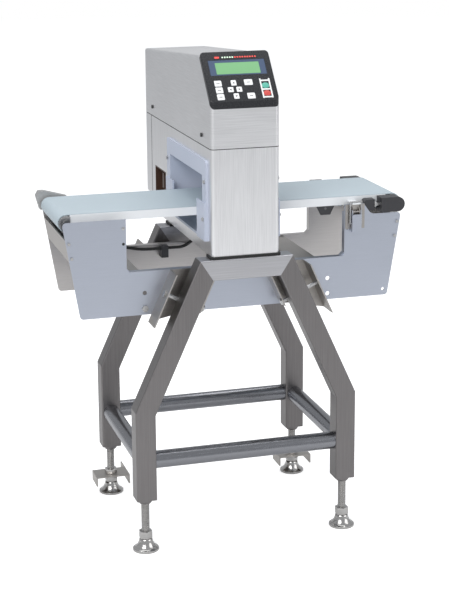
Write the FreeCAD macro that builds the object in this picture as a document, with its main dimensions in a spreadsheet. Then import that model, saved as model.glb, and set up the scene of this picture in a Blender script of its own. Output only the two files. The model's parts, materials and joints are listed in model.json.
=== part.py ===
import FreeCAD, Part
import math
import os
import re

import Sketcher
from FreeCAD import Placement, Rotation, Vector

# Conveyor metal detector: a square-tube stand on levelling feet carries two side plates,
# a short belt conveyor between them, and a search head with a control panel around the belt.
# Millimetres, +Z up, feet on Z = 0. X runs along the belt from infeed (-X) to outfeed (+X),
# -Y is the operator's side. Shapes are drawn about the middle of the belt and the tunnel;
# origin_x and origin_y then move every node so that the origin is under the middle of the whole.

SIZES = {
    # stand: square tube frame
    "tube_width": 50, "tube_wall": 2, "tube_corner": 4, "leg_x": 255, "leg_y": 197.5,
    "leg_bottom": 134, "knee_height": 354, "beam_top": 721, "beam_half": 99.5,
    "stretcher_diameter": 42.7, "stretcher_wall": 2, "stretcher_height": 230,
    # levelling feet
    "spindle_diameter": 20, "spindle_top": 182, "thread_clearance": 0.25,
    "pad_radius": 32, "pad_rim": 6, "pad_height": 30, "pad_neck_radius": 17,
    "socket_radius": 12.3, "socket_floor": 12, "hub_flats": 30, "hub_bottom": 31, "hub_top": 50,
    "boss_radius": 17, "boss_length": 12, "plug_thickness": 5, "lock_nut_height": 13,
    "anchor_length": 90, "anchor_width": 60, "anchor_drop": 25, "anchor_sheet": 3, "anchor_tail": 42,
    # side plates and what joins them
    "plate_outer_y": 142, "plate_sheet": 3, "plate_bottom": 580, "plate_foot_x": 391,
    "plate_head_x": 430, "tower_top": 818, "tower_inner_x": 276, "notch_bottom": 688,
    "cutdown_x": 346, "cutdown_top": 790, "cutdown_radius": 20, "plate_corner": 9, "return_flange": 15,
    "fixing_x": 233, "fixing_low": 595, "fixing_high": 634, "fixing_radius": 5.5, "drain_x": 380,
    "drain_radius": 4, "channel_width": 60, "channel_depth": 25, "channel_edge_infeed": 241,
    "channel_edge_outfeed": 148, "end_sheet_low": 722, "end_sheet_high": 776, "end_flange": 18,
    "end_screw_radius": 2.5, "end_screw_inset": 7, "bracket_outside": 60, "bracket_inside": 40,
    "bracket_top": 687, "bracket_outer_tip": 562, "bracket_outer_depth": 60, "bracket_inner_top": 669,
    "bracket_inner_tip": 585, "bracket_inner_depth": 45, "bracket_bolt_z": 612, "bracket_bolt_radius": 5,
    "bracket_bolt_head": 9, "head_thickness": 4, "support_length": 20, "support_depth": 26,
    # conveyor
    "belt_top": 832, "belt_width": 220, "belt_thickness": 2, "belt_gap": 0.15, "drum_x": 414,
    "drum_radius": 18.5, "drum_face": 221, "drum_chamfer": 1, "axle_radius": 8.5, "idler_axle_radius": 6,
    "running_clearance": 0.06, "return_x_outfeed": 236, "return_x_infeed": 330, "return_radius": 8,
    "return_pin_radius": 3, "return_run": 813, "rail_outer": 114.5, "rail_sheet": 3, "rail_bottom": 811,
    "rail_top": 831, "rail_infeed_end": 405, "rail_outfeed_end": 395, "bed_thickness": 4, "bed_half": 386,
    "roller_bracket_top": 47, "roller_bracket_bottom": 25, "roller_bracket_drop": 22,
    "block_depth": 6, "carrier_inner": 116, "carrier_outer": 150,
    "carrier_start": 371, "carrier_height": 37, "tension_travel": 8, "tension_bolt_radius": 4,
    "tension_bracket_start": 330, "tension_bracket_end": 357, "tension_bracket_height": 28,
    "cover_start": 367, "cover_end": 445, "cover_bottom": 799, "cover_top": 846, "cover_inner": 119,
    # toggle latches
    "latch_x": 303, "latch_base_width": 50, "latch_base_bottom": 756, "latch_base_sheet": 2,
    "latch_pivot_y": 151, "latch_pivot_z": 800, "latch_crank": 30, "latch_pin_radius": 2.5,
    "latch_lever_width": 24, "latch_lever_bottom": 750, "latch_sheet": 2, "bail_wire": 4,
    "bail_bar_z": 824.5, "bail_half": 14.8, "bail_y": 149.5, "keeper_width": 20, "keeper_sheet": 3,
    "keeper_clearance": 0.8, "keeper_lip": 0.4,
    # search head
    "head_half": 84.7, "head_front": 212, "head_rear": 372, "head_back": 430, "head_bottom": 727,
    "seam_height": 985, "head_sheet": 2.5, "head_corner": 10, "lip_width": 14,
    "tunnel_half": 153, "tunnel_bottom": 766, "tunnel_top": 916, "liner_wall": 4, "flange_half": 184,
    "flange_bottom": 760, "flange_top": 955, "flange_sheet": 6, "flange_bolt_radius": 5, "guard_sheet": 4, "guard_inner": 115.5,
    "guard_top": 853, "coil_section": 8, "coil_width": 12, "coil_spacing": 45, "coil_corner": 14,
    "recess_front": 222, "recess_rear": 336, "recess_bottom": 772, "recess_top": 855, "recess_depth": 24,
    "rear_cover_bottom": 771, "gasket_overhang": 3, "gasket_corner": 6,
    "cover_screw_radius": 5, "cover_screw_height": 3, "cover_screw_z": 1009, "cover_screw_front": 132,
    "cover_screw_rear": 356, "roof_front_y": 112, "roof_front_z": 1196.5, "roof_back_z": 1157,
    "panel_foot_z": 1080, "roof_corner": 6,
    # control panel, measured along its slope
    "bezel_thickness": 10.6, "bezel_corner": 10, "bezel_edge": 2, "window_half": 69.5,
    "window_low": 74.5, "window_high": 117.5, "window_recess": 2.5, "window_sheet": 2,
    "key_pocket": 3.5, "key_gap": 0.35, "key_height": 3.1, "key_travel": 0.5, "key_corner": 2,
    # motor cable
    "cable_diameter": 8, "clip_x": 118, "clip_width": 18, "clip_low": 654, "cable_y": 118,
    "cable_low_z": 678, "gland_radius": 9, "gland_length": 8,
}

# name: (middle x, middle up the slope, width, height)
KEYS = {
    "key_menu_top": (-56.5, 52, 17.5, 16.5),
    "key_menu_middle": (-56.5, 33.2, 17.5, 16.5),
    "key_menu_bottom": (-56.5, 14.4, 17.5, 16.5),
    "key_up": (-18.2, 52.5, 13, 15),
    "key_left": (-28.6, 34, 13.5, 14),
    "key_right": (-7.8, 34, 13.5, 14),
    "key_down": (-18.2, 15.5, 13, 15),
    "key_select": (18, 52.7, 20.5, 16),
    "key_enter": (18, 14.9, 19, 16),
    "key_start": (58.3, 42, 18, 15),
    "key_stop": (58.3, 20.5, 18, 15),
}

# middle line of the motor cable: out of the end cover, over the channel, through the clip, up into the head
CABLE_ROUTE = [
    (-404, 128, 798.7), (-404, 128, 764), (-376, 122, 718), (-302, 118, 693), (-232, 118, 690.5),
    (-180, 118, 678), (-66, 118, 678), (-40, 118, 696), (-40, 118, 718.7),
]

doc = FreeCAD.newDocument("ConveyorMetalDetector")
sheet = doc.addObject("Spreadsheet::Sheet", "Sizes")
nodes = []


class Size:
    """A number together with the spreadsheet expression that it comes from."""

    def __init__(self, value, text):
        self.value = float(value)
        self.text = text

    def joined(self, other, symbol, result, swapped=False):
        other = other if isinstance(other, Size) else Size(other, repr(float(other)))
        first, second = (other, self) if swapped else (self, other)
        return Size(result(first.value, second.value), "(%s %s %s)" % (first.text, symbol, second.text))

    def __add__(self, other):
        return self.joined(other, "+", lambda a, b: a + b)

    def __radd__(self, other):
        return self.joined(other, "+", lambda a, b: a + b, swapped=True)

    def __sub__(self, other):
        return self.joined(other, "-", lambda a, b: a - b)

    def __rsub__(self, other):
        return self.joined(other, "-", lambda a, b: a - b, swapped=True)

    def __mul__(self, other):
        return self.joined(other, "*", lambda a, b: a * b)

    def __rmul__(self, other):
        return self.joined(other, "*", lambda a, b: a * b, swapped=True)

    def __truediv__(self, other):
        return self.joined(other, "/", lambda a, b: a / b)

    def __rtruediv__(self, other):
        return self.joined(other, "/", lambda a, b: a / b, swapped=True)

    def __neg__(self):
        return Size(-self.value, "(-%s)" % self.text)


class SizeSheet:
    """Reads the aliases of the spreadsheet as sizes."""

    def __getattr__(self, alias):
        return Size(sheet.get(alias), "Sizes.%s" % alias)


S = SizeSheet()


def write_sheet():
    for row, (alias, value) in enumerate(SIZES.items(), start=1):
        sheet.set("A%d" % row, alias.replace("_", " "))
        sheet.set("B%d" % row, str(value))
        sheet.setAlias("B%d" % row, alias)
    doc.recompute()


def root_of(size):
    return Size(math.sqrt(size.value), "sqrt(%s)" % size.text)


def number(size):
    return size.value if isinstance(size, Size) else float(size)


def bind(feature, name, size):
    """Sets a property to a size and ties it to the spreadsheet."""
    if isinstance(size, Size):
        feature.setExpression(name, size.text)
        return
    setattr(feature, name, size)


def bind_base(feature, x, y, z):
    feature.Placement.Base = Vector(number(x), number(y), number(z))
    for axis, size in (("x", x), ("y", y), ("z", z)):
        if isinstance(size, Size):
            feature.setExpression("Placement.Base.%s" % axis, size.text)


def turn(feature, axis, degrees):
    feature.Placement = Placement(feature.Placement.Base, Rotation(Vector(*axis), degrees))


def node(feature, label, x=0.0, y=0.0, z=0.0):
    """Names a finished piece and puts it in the frame of the whole machine."""
    feature.Label = label
    bind_base(feature, x + origin_x, y + origin_y, z)
    nodes.append(feature)
    return feature


def group(label, pieces):
    """One node of several separate solids."""
    feature = doc.addObject("Part::Compound", label)
    feature.Links = pieces
    return node(feature, label)


def mirrored(source, label, normal):
    """The same node on the other side of the belt's middle."""
    feature = doc.addObject("Part::Mirroring", label)
    feature.Source = source
    feature.Normal = Vector(*normal)
    feature.Base = Vector(number(origin_x), number(origin_y), 0)
    feature.setExpression("Base.x", origin_x.text)
    feature.setExpression("Base.y", origin_y.text)
    feature.Label = label
    nodes.append(feature)
    return feature


def reflected(source, normal):
    """A loose copy of a piece that is drawn about the belt's middle."""
    feature = doc.addObject("Part::Mirroring", source.Name + "_reflected")
    feature.Source = source
    feature.Normal = Vector(*normal)
    return feature


# ---- PartDesign helpers

def new_body(name):
    return doc.addObject("PartDesign::Body", name)


def new_sketch(body, plane, offset=0.0):
    sketch = body.newObject("Sketcher::SketchObject", body.Name + "_sketch")
    for feature in body.Origin.OriginFeatures:
        if getattr(feature, "Role", "") == plane:
            sketch.AttachmentSupport = [(feature, "")]
    sketch.MapMode = "FlatFace"
    sketch.AttachmentOffset = Placement(Vector(0, 0, number(offset)), Rotation())
    if isinstance(offset, Size):
        sketch.setExpression("AttachmentOffset.Base.z", offset.text)
    return sketch


def hold(sketch, kind, point, size):
    """Fixes one coordinate of a point from the sketch's origin."""
    geometry, place = point
    index = sketch.addConstraint(Sketcher.Constraint(kind, -1, 1, geometry, place, number(size)))
    if isinstance(size, Size):
        sketch.setExpression("Constraints[%d]" % index, size.text)


def add_outline(sketch, points):
    """A closed outline of straight edges through the points, each held by its own sizes."""
    first = sketch.GeometryCount
    corners = [Vector(number(x), number(y), 0) for x, y in points]
    for index, corner in enumerate(corners):
        sketch.addGeometry(Part.LineSegment(corner, corners[(index + 1) % len(corners)]), False)
    for index in range(len(corners)):
        following = first + (index + 1) % len(corners)
        sketch.addConstraint(Sketcher.Constraint("Coincident", first + index, 2, following, 1))
    for index, (x, y) in enumerate(points):
        hold(sketch, "DistanceX", (first + index, 1), x)
        hold(sketch, "DistanceY", (first + index, 1), y)


def add_circle(sketch, x, y, radius):
    middle = Vector(number(x), number(y), 0)
    index = sketch.addGeometry(Part.Circle(middle, Vector(0, 0, 1), number(radius)), False)
    hold(sketch, "DistanceX", (index, 3), x)
    hold(sketch, "DistanceY", (index, 3), y)
    constraint = sketch.addConstraint(Sketcher.Constraint("Radius", index, number(radius)))
    if isinstance(radius, Size):
        sketch.setExpression("Constraints[%d]" % constraint, radius.text)


def box_points(left, right, low, high):
    return [(left, low), (right, low), (right, high), (left, high)]


def drawn(body, plane, outlines=(), circles=(), offset=0.0):
    sketch = new_sketch(body, plane, offset)
    for points in outlines:
        add_outline(sketch, points)
    for x, y, radius in circles:
        add_circle(sketch, x, y, radius)
    return sketch


def pad(body, sketch, length, middle=False, back=False):
    feature = body.newObject("PartDesign::Pad", body.Name + "_pad")
    feature.Profile = sketch
    bind(feature, "Length", length)
    feature.Midplane = middle
    feature.Reversed = back
    return feature


def pocket(body, sketch, length=None, middle=False, back=False):
    """Cuts the sketch out, right through both ways where no length is given."""
    feature = body.newObject("PartDesign::Pocket", body.Name + "_pocket")
    feature.Profile = sketch
    if length is None:
        feature.Type = "ThroughAll"
        feature.Midplane = True
    else:
        bind(feature, "Length", length)
        feature.Midplane = middle
        feature.Reversed = back
    return feature


def revolve(body, points):
    """Turns a profile of (radius, height) points about the body's own Z axis."""
    sketch = drawn(body, "XZ_Plane", [points])
    feature = body.newObject("PartDesign::Revolution", body.Name + "_turned")
    feature.Profile = sketch
    feature.ReferenceAxis = (sketch, ["V_Axis"])
    feature.Angle = 360
    return feature


def dress(body, kind, size, wanted):
    """Fillets or chamfers the edges of the body's last shape that pass the test."""
    doc.recompute()
    base = body.Tip
    edges = ["Edge%d" % (index + 1) for index, edge in enumerate(base.Shape.Edges) if wanted(edge)]
    if not edges:
        raise ValueError("no edge to %s on %s" % (kind, body.Name))
    feature = body.newObject("PartDesign::" + kind, body.Name + "_" + kind.lower())
    feature.Base = (base, edges)
    bind(feature, "Radius" if kind == "Fillet" else "Size", size)
    return feature


def runs_along(edge, axis):
    """True for a straight edge that is parallel to the axis."""
    if len(edge.Vertexes) != 2 or not isinstance(edge.Curve, Part.Line):
        return False
    along = edge.Vertexes[1].Point - edge.Vertexes[0].Point
    return abs(along.normalize().dot(Vector(*axis))) > 0.9999


def near(value, size, slack=0.01):
    return abs(value - number(size)) < slack


def cylinder(name, radius, length, x, y, z, axis="z"):
    """A round bar that starts at the point and runs along the axis."""
    feature = doc.addObject("Part::Cylinder", name)
    bind(feature, "Radius", radius)
    bind(feature, "Height", length)
    if axis == "x":
        turn(feature, (0, 1, 0), 90)
    if axis == "y":
        turn(feature, (1, 0, 0), -90)
    bind_base(feature, x, y, z)
    return feature


def hex_bar(name, radius, length, x, y, z, axis="z"):
    """A hexagon bar, such as a bolt's head, with its corners on the radius."""
    feature = doc.addObject("Part::Prism", name)
    feature.Polygon = 6
    bind(feature, "Circumradius", radius)
    bind(feature, "Height", length)
    if axis == "x":
        turn(feature, (0, 1, 0), 90)
    if axis == "y":
        turn(feature, (1, 0, 0), -90)
    bind_base(feature, x, y, z)
    return feature


def box(name, length, width, height, x, y, z):
    feature = doc.addObject("Part::Box", name)
    bind(feature, "Length", length)
    bind(feature, "Width", width)
    bind(feature, "Height", height)
    bind_base(feature, x, y, z)
    return feature


def cut(name, base, tool):
    feature = doc.addObject("Part::Cut", name)
    feature.Base = base
    feature.Tool = tool
    return feature


def fused(name, pieces):
    feature = doc.addObject("Part::MultiFuse", name)
    feature.Shapes = pieces
    return feature


def solid(name, shape):
    feature = doc.addObject("Part::Feature", name)
    feature.Shape = shape
    return feature


def mitred_bar(points, bar_radius):
    """A round bar along straight runs with mitred corners."""
    places = [Vector(*point) for point in points]
    path = Part.makePolygon(places)
    section = Part.Wire([Part.Circle(places[0], places[1] - places[0], bar_radius).toShape()])
    return path.makePipeShell([section], True, True, 1)


def bent_bar(points, bar_radius):
    """A round bar along straight runs that tangent arcs join, each arc as large as its runs allow.
    Returns the solid, its path's length and its arc radii."""
    places = [Vector(*point) for point in points]
    edges = []
    radii = []
    start = places[0]
    for before, corner, after in zip(places, places[1:], places[2:]):
        back = (before - corner).normalize()
        onward = (after - corner).normalize()
        turn_angle = math.pi - back.getAngle(onward)
        shorter = min((before - corner).Length, (after - corner).Length)
        radius = 0.45 * shorter / math.tan(turn_angle / 2)
        radii.append(radius)
        setback = radius * math.tan(turn_angle / 2)
        arc_start = corner + back * setback
        arc_end = corner + onward * setback
        bisector = (back + onward).normalize()
        middle = corner + bisector * (radius / math.cos(turn_angle / 2) - radius)
        edges.append(Part.LineSegment(start, arc_start).toShape())
        edges.append(Part.Arc(arc_start, middle, arc_end).toShape())
        start = arc_end
    edges.append(Part.LineSegment(start, places[-1]).toShape())
    path = Part.Wire(edges)
    section = Part.Wire([Part.Circle(places[0], places[1] - places[0], bar_radius).toShape()])
    return path.makePipeShell([section], True, True), path.Length, radii


# ---- relations between the sizes

write_sheet()

origin_x = (S.cover_end - (S.drum_x + S.drum_radius + S.belt_gap + S.belt_thickness)) / 2
origin_y = (S.leg_y + S.pad_radius - S.head_back) / 2
half_tube = S.tube_width / 2
beam_middle = S.beam_top - half_tube
lean = (S.leg_x - S.beam_half) / (beam_middle - S.knee_height)
lean_cosine = 1 / root_of(lean * lean + 1)
lean_sine = lean * lean_cosine
knee_mitre = half_tube * lean / (1 + root_of(lean * lean + 1))
beam_mitre = half_tube * lean_cosine / (1 + lean_sine)
plate_inner_y = S.plate_outer_y - S.plate_sheet
edge_slope = (S.plate_head_x - S.plate_foot_x) / (S.tower_top - S.plate_bottom)
drum_z = S.belt_top - S.belt_thickness - S.belt_gap - S.drum_radius
rail_inner = S.rail_outer - S.rail_sheet
bed_top = S.belt_top - S.belt_thickness - S.belt_gap
spindle_radius = S.spindle_diameter / 2
return_z = S.return_run - S.belt_gap - S.return_radius
LEAN_DEGREES = math.degrees(math.atan(number(lean)))

panel_rise = S.roof_front_z - S.panel_foot_z
panel_run = S.head_front - S.roof_front_y
panel_length = root_of(panel_rise * panel_rise + panel_run * panel_run)
panel_sine = panel_rise / panel_length
panel_cosine = panel_run / panel_length
PANEL_DEGREES = math.degrees(math.atan2(number(panel_rise), number(panel_run)))
# the lower edge of the bezel's face: the bezel is cut upright at its foot, in line with the head's front
face_start = S.bezel_thickness * panel_sine / panel_cosine


# ---- stand

def mitred_tube(name, start, end, y):
    """A square tube between two mitres. Each end is (middle, half mitre), both (x, z) pairs."""
    body = new_body(name)

    def quad(share):
        (x1, z1), (u1, w1) = start
        (x2, z2), (u2, w2) = end
        return [(x1 + u1 * share, z1 + w1 * share), (x2 + u2 * share, z2 + w2 * share),
                (x2 - u2 * share, z2 - w2 * share), (x1 - u1 * share, z1 - w1 * share)]

    pad(body, drawn(body, "XZ_Plane", [quad(1)]), S.tube_width, middle=True)
    dress(body, "Fillet", S.tube_corner,
          lambda edge: not runs_along(edge, (0, 1, 0)) and edge.Length > 1.3 * number(S.tube_width))
    bore = 1 - 2 * S.tube_wall / S.tube_width
    pocket(body, drawn(body, "XZ_Plane", [quad(bore)]), S.tube_width - 2 * S.tube_wall, middle=True)
    bind_base(body, 0, y, 0)
    return body


def foot_plug(name):
    """Closes a leg's end and takes the thread of the foot's spindle."""
    body = new_body(name)
    bore = spindle_radius + S.thread_clearance
    low = S.leg_bottom - S.boss_length
    plug = half_tube - S.tube_wall
    revolve(body, [(bore, low), (S.boss_radius - 3, low), (S.boss_radius, low + 4),
                   (S.boss_radius, S.leg_bottom), (plug, S.leg_bottom),
                   (plug, S.leg_bottom + S.plug_thickness), (bore, S.leg_bottom + S.plug_thickness)])
    bind_base(body, S.leg_x, -S.leg_y, 0)
    return body


def make_stand():
    beam_end = (S.beam_half, beam_middle), (beam_mitre, half_tube)
    other_end = (-S.beam_half, beam_middle), (-beam_mitre, half_tube)
    beam = mitred_tube("front_beam_tube", beam_end, other_end, 0)
    node(beam, "front_beam", y=-S.leg_y)
    mirrored(beam, "rear_beam", (0, 1, 0))

    knee = (S.leg_x, S.knee_height), (half_tube, knee_mitre)
    leg_end = (S.leg_x, S.leg_bottom), (half_tube, Size(0, "0"))
    post = mitred_tube("leg_post", leg_end, knee, -S.leg_y)
    strut = mitred_tube("leg_strut", knee, beam_end, -S.leg_y)
    leg = group("leg_front_right", [post, strut, foot_plug("leg_plug")])
    mirrored(leg, "leg_front_left", (1, 0, 0))
    rear_leg = mirrored(leg, "leg_rear_right", (0, 1, 0))
    mirrored(rear_leg, "leg_rear_left", (1, 0, 0))

    radius = S.stretcher_diameter / 2
    front = new_body("stretcher_long")
    circles = [(-S.leg_y, S.stretcher_height, radius), (-S.leg_y, S.stretcher_height, radius - S.stretcher_wall)]
    pad(front, drawn(front, "YZ_Plane", circles=circles), 2 * S.leg_x - S.tube_width, middle=True)
    side = new_body("stretcher_short")
    circles = [(S.leg_x, S.stretcher_height, radius), (S.leg_x, S.stretcher_height, radius - S.stretcher_wall)]
    pad(side, drawn(side, "XZ_Plane", circles=circles), 2 * S.leg_y - S.tube_width, middle=True)
    group("stretcher_tubes", [front, reflected(front, (0, 1, 0)), side, reflected(side, (1, 0, 0))])


def hexagon(flats):
    """Corner points of a hexagon with two flats that face +Y and -Y."""
    corner = flats / 3 ** 0.5
    return [(corner * math.cos(math.radians(60 * step)), corner * math.sin(math.radians(60 * step)))
            for step in range(6)]


def foot_pad(name):
    body = new_body(name)
    revolve(body, [(0, 0), (S.pad_radius, 0), (S.pad_radius, S.pad_rim), (S.pad_radius - 3, S.pad_rim + 2.5),
                   (S.pad_neck_radius, S.pad_height - 4), (S.pad_neck_radius - 2, S.pad_height),
                   (S.socket_radius, S.pad_height), (S.socket_radius, S.socket_floor), (0, S.socket_floor)])
    return body


def spindle(name):
    """Threaded spindle with its ball foot in the pad and a hexagon for the spanner."""
    body = new_body(name)
    ball = S.socket_radius - 0.3
    revolve(body, [(0, S.socket_floor), (ball, S.socket_floor), (ball, S.socket_floor + 8),
                   (spindle_radius, S.socket_floor + 12), (spindle_radius, S.spindle_top - 2),
                   (spindle_radius - 2, S.spindle_top), (0, S.spindle_top)])
    pad(body, drawn(body, "XY_Plane", [hexagon(S.hub_flats)], offset=S.hub_bottom), S.hub_top - S.hub_bottom)
    return body


def anchor_bracket(name):
    """Sheet channel that hooks over a rear foot; its long flange takes the floor anchor."""
    body = new_body(name)
    half, sheet_size = S.anchor_length / 2, S.anchor_sheet
    top, low = S.hub_top + sheet_size, S.hub_top + sheet_size - S.anchor_drop
    outline = [(-half, low), (-half + sheet_size, low), (-half + sheet_size, S.hub_top),
               (half - sheet_size, S.hub_top), (half - sheet_size, low), (half, low), (half, top), (-half, top)]
    pad(body, drawn(body, "XZ_Plane", [outline]), S.anchor_width, middle=True)
    tail = drawn(body, "YZ_Plane", [box_points(S.anchor_width / 2, S.anchor_width / 2 + S.anchor_tail, low, top)],
                 offset=half)
    pad(body, tail, sheet_size, back=True)
    pocket(body, drawn(body, "XY_Plane", circles=[(0, 0, spindle_radius + 0.5)]))
    hole = (S.anchor_width / 2 + S.anchor_tail / 2, (top + low) / 2, 5.5)
    pocket(body, drawn(body, "YZ_Plane", circles=[hole], offset=half), sheet_size, middle=False, back=False)
    return body


def lock_nut(name):
    body = new_body(name)
    start = S.hub_top + S.anchor_sheet
    pad(body, drawn(body, "XY_Plane", [hexagon(S.hub_flats)], offset=start), S.lock_nut_height)
    pocket(body, drawn(body, "XY_Plane", circles=[(0, 0, spindle_radius + 0.05)]))
    return body


def make_feet():
    def on_foot(piece, y):
        bind_base(piece, S.leg_x, y, 0)
        return piece

    front = group("foot_front_right",
                  [on_foot(foot_pad("front_pad"), -S.leg_y), on_foot(spindle("front_spindle"), -S.leg_y)])
    mirrored(front, "foot_front_left", (1, 0, 0))
    rear = group("foot_rear_right",
                 [on_foot(foot_pad("rear_pad"), S.leg_y), on_foot(spindle("rear_spindle"), S.leg_y),
                  on_foot(lock_nut("rear_lock_nut"), S.leg_y)])
    mirrored(rear, "foot_rear_left", (1, 0, 0))
    node(anchor_bracket("anchor_right"), "anchor_bracket_right", x=S.leg_x, y=S.leg_y)
    node(anchor_bracket("anchor_left"), "anchor_bracket_left", x=-S.leg_x, y=S.leg_y)


# ---- side plates and what joins them

def edge_x(z):
    """How far out the slanted end of a side plate is at the height z."""
    return S.plate_foot_x + (z - S.plate_bottom) * edge_slope


def side_plate():
    """U-shaped side sheet of the conveyor, with a folded edge round its notch."""
    body = new_body("plate_front")
    outline = [(-S.plate_foot_x, S.plate_bottom), (S.plate_foot_x, S.plate_bottom),
               (edge_x(S.cutdown_top), S.cutdown_top), (S.cutdown_x, S.cutdown_top),
               (S.cutdown_x - S.cutdown_radius, S.tower_top), (S.tower_inner_x, S.tower_top),
               (S.tower_inner_x, S.notch_bottom), (-S.tower_inner_x, S.notch_bottom),
               (-S.tower_inner_x, S.tower_top), (-S.plate_head_x, S.tower_top)]
    pad(body, drawn(body, "XZ_Plane", [outline], offset=plate_inner_y), S.plate_sheet)
    corners = [(S.plate_foot_x, S.plate_bottom), (S.plate_head_x, S.tower_top),
               (edge_x(S.cutdown_top), S.cutdown_top), (S.tower_inner_x, S.notch_bottom)]

    def is_corner(edge):
        place = edge.CenterOfMass
        return runs_along(edge, (0, 1, 0)) and any(
            near(abs(place.x), x) and near(place.z, z) for x, z in corners)

    dress(body, "Fillet", S.plate_corner, is_corner)
    dress(body, "Fillet", S.cutdown_radius, lambda edge: runs_along(edge, (0, 1, 0))
          and near(edge.CenterOfMass.x, S.cutdown_x) and near(edge.CenterOfMass.z, S.cutdown_top))
    inside, floor, thick = S.tower_inner_x, S.notch_bottom, S.plate_sheet
    fold = [(-inside, floor + S.plate_corner), (-inside, S.tower_top - 20), (-inside - thick, S.tower_top - 20),
            (-inside - thick, floor - thick), (inside + thick, floor - thick),
            (inside + thick, S.tower_top - 20), (inside, S.tower_top - 20), (inside, floor + S.plate_corner),
            (inside - S.plate_corner, floor), (-inside + S.plate_corner, floor)]
    pad(body, drawn(body, "XZ_Plane", [fold], offset=plate_inner_y), S.return_flange, back=True)
    holes = [(side * S.fixing_x, height, S.fixing_radius)
             for side in (-1, 1) for height in (S.fixing_low, S.fixing_high)]
    holes.append((S.drain_x, S.fixing_low, S.drain_radius))
    holes += [(side * x, z, S.end_screw_radius) for side in (-1, 1) for x, z in end_screws()]
    pocket(body, drawn(body, "XZ_Plane", circles=holes, offset=plate_inner_y - 1), S.plate_sheet + 2, back=True)
    return body


def end_screws():
    """The two screw places near each slanted end, as (x, z) on the outfeed side."""
    third = (S.end_sheet_high - S.end_sheet_low) / 3
    heights = (S.end_sheet_low + third / 2, S.end_sheet_high - third / 2)
    return [(edge_x(height) - S.end_screw_inset, height) for height in heights]


def strut_x(z, aside):
    """X of the line that runs beside a strut's middle line, aside millimetres out from it, at the height z."""
    return S.leg_x - (z - S.knee_height) * lean + aside / lean_cosine


def leg_bracket():
    """Bent channel on the side plate that straddles a strut, with a longer flange on its outer side."""
    body = new_body("bracket_channel")
    outside, inside, thick = S.bracket_outside, -S.bracket_inside, S.plate_sheet
    top, low_out, low_in = S.bracket_top, S.bracket_outer_tip, S.bracket_inner_tip
    web = [(strut_x(low_out, outside), low_out), (strut_x(top, outside), top), (strut_x(top, inside), top),
           (strut_x(low_in, inside), low_in)]
    pad(body, drawn(body, "XZ_Plane", [web], offset=S.plate_outer_y), thick)

    def strip(first, second, low, high):
        return [(strut_x(low, first), low), (strut_x(low, second), low),
                (strut_x(high, second), high), (strut_x(high, first), high)]

    outer = strip(outside - thick, outside, low_out, top)
    pad(body, drawn(body, "XZ_Plane", [outer], offset=S.plate_outer_y), S.bracket_outer_depth)
    inner = strip(inside, inside + thick, low_in, S.bracket_inner_top)
    pad(body, drawn(body, "XZ_Plane", [inner], offset=S.plate_outer_y), S.bracket_inner_depth)
    return body


def bracket_bolts():
    """Bolts through a bracket's flanges into the sides of the strut, with a spacer sleeve on each."""
    pieces = []
    y = -S.leg_y + half_tube - 7
    z = S.bracket_bolt_z
    for side, reach in ((1, S.bracket_outside), (-1, S.bracket_inside)):
        sleeve = reach - S.plate_sheet - half_tube
        for name, radius, start, length in (("bolt_sleeve", S.bracket_bolt_radius, half_tube, sleeve),
                                            ("bolt_head", S.bracket_bolt_head, reach, S.head_thickness)):
            bar = hex_bar(name, radius, length, 0, 0, 0)
            turn(bar, (0, 1, 0), side * 90 - LEAN_DEGREES)
            bind_base(bar, strut_x(z, 0.0) + side * start * lean_cosine, y, z + side * start * lean_sine)
            pieces.append(bar)
    return pieces


def channel(name, low_x):
    """Inverted channel that ties the two side plates together under their folded edges."""
    body = new_body(name)
    top = S.notch_bottom - S.plate_sheet
    high_x, low, thick = low_x + S.channel_width, top - S.channel_depth, S.plate_sheet
    outline = [(low_x, low), (low_x + thick, low), (low_x + thick, top - thick), (high_x - thick, top - thick),
               (high_x - thick, low), (high_x, low), (high_x, top), (low_x, top)]
    pad(body, drawn(body, "XZ_Plane", [outline]), 2 * plate_inner_y, middle=True)
    return body


def end_sheet():
    """Sheet across the outfeed end, folded along the side plates and screwed to them."""
    body = new_body("end_sheet")
    low, high, thick = S.end_sheet_low, S.end_sheet_high, S.plate_sheet
    face = [(edge_x(low) - thick, low), (edge_x(low), low), (edge_x(high), high), (edge_x(high) - thick, high)]
    pad(body, drawn(body, "XZ_Plane", [face]), 2 * plate_inner_y, middle=True)
    flange = [(edge_x(low) - S.end_flange, low), (edge_x(low) - thick, low), (edge_x(high) - thick, high),
              (edge_x(high) - S.end_flange, high)]
    pad(body, drawn(body, "XZ_Plane", [flange], offset=plate_inner_y), thick, back=True)
    pad(body, drawn(body, "XZ_Plane", [flange], offset=-plate_inner_y), thick)
    holes = [(x, z, S.end_screw_radius) for x, z in end_screws()]
    pocket(body, drawn(body, "XZ_Plane", circles=holes))
    return body


def rail_support():
    """Angle between a side plate and the underside of the conveyor rail."""
    body = new_body("rail_support")
    inner = rail_inner
    top, thick = S.rail_bottom, S.plate_sheet
    outline = [(-plate_inner_y, top), (-plate_inner_y, top - S.support_depth),
               (-plate_inner_y + thick, top - S.support_depth), (-plate_inner_y + thick, top - thick),
               (-inner, top - thick), (-inner, top)]
    start = S.tower_inner_x + thick + 0.5
    pad(body, drawn(body, "YZ_Plane", [outline], offset=start), S.support_length)
    return body


def pan_screw(x, z, radius, shank, y, length):
    """A screw from outside into the front plate: shank and round head."""
    name = "plate_screw"
    return fused(name, [cylinder(name + "_shank", shank, length, x, y, z, axis="y"),
                        hex_bar(name + "_head", radius, S.head_thickness, x, y - S.head_thickness, z, axis="y")])


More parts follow.
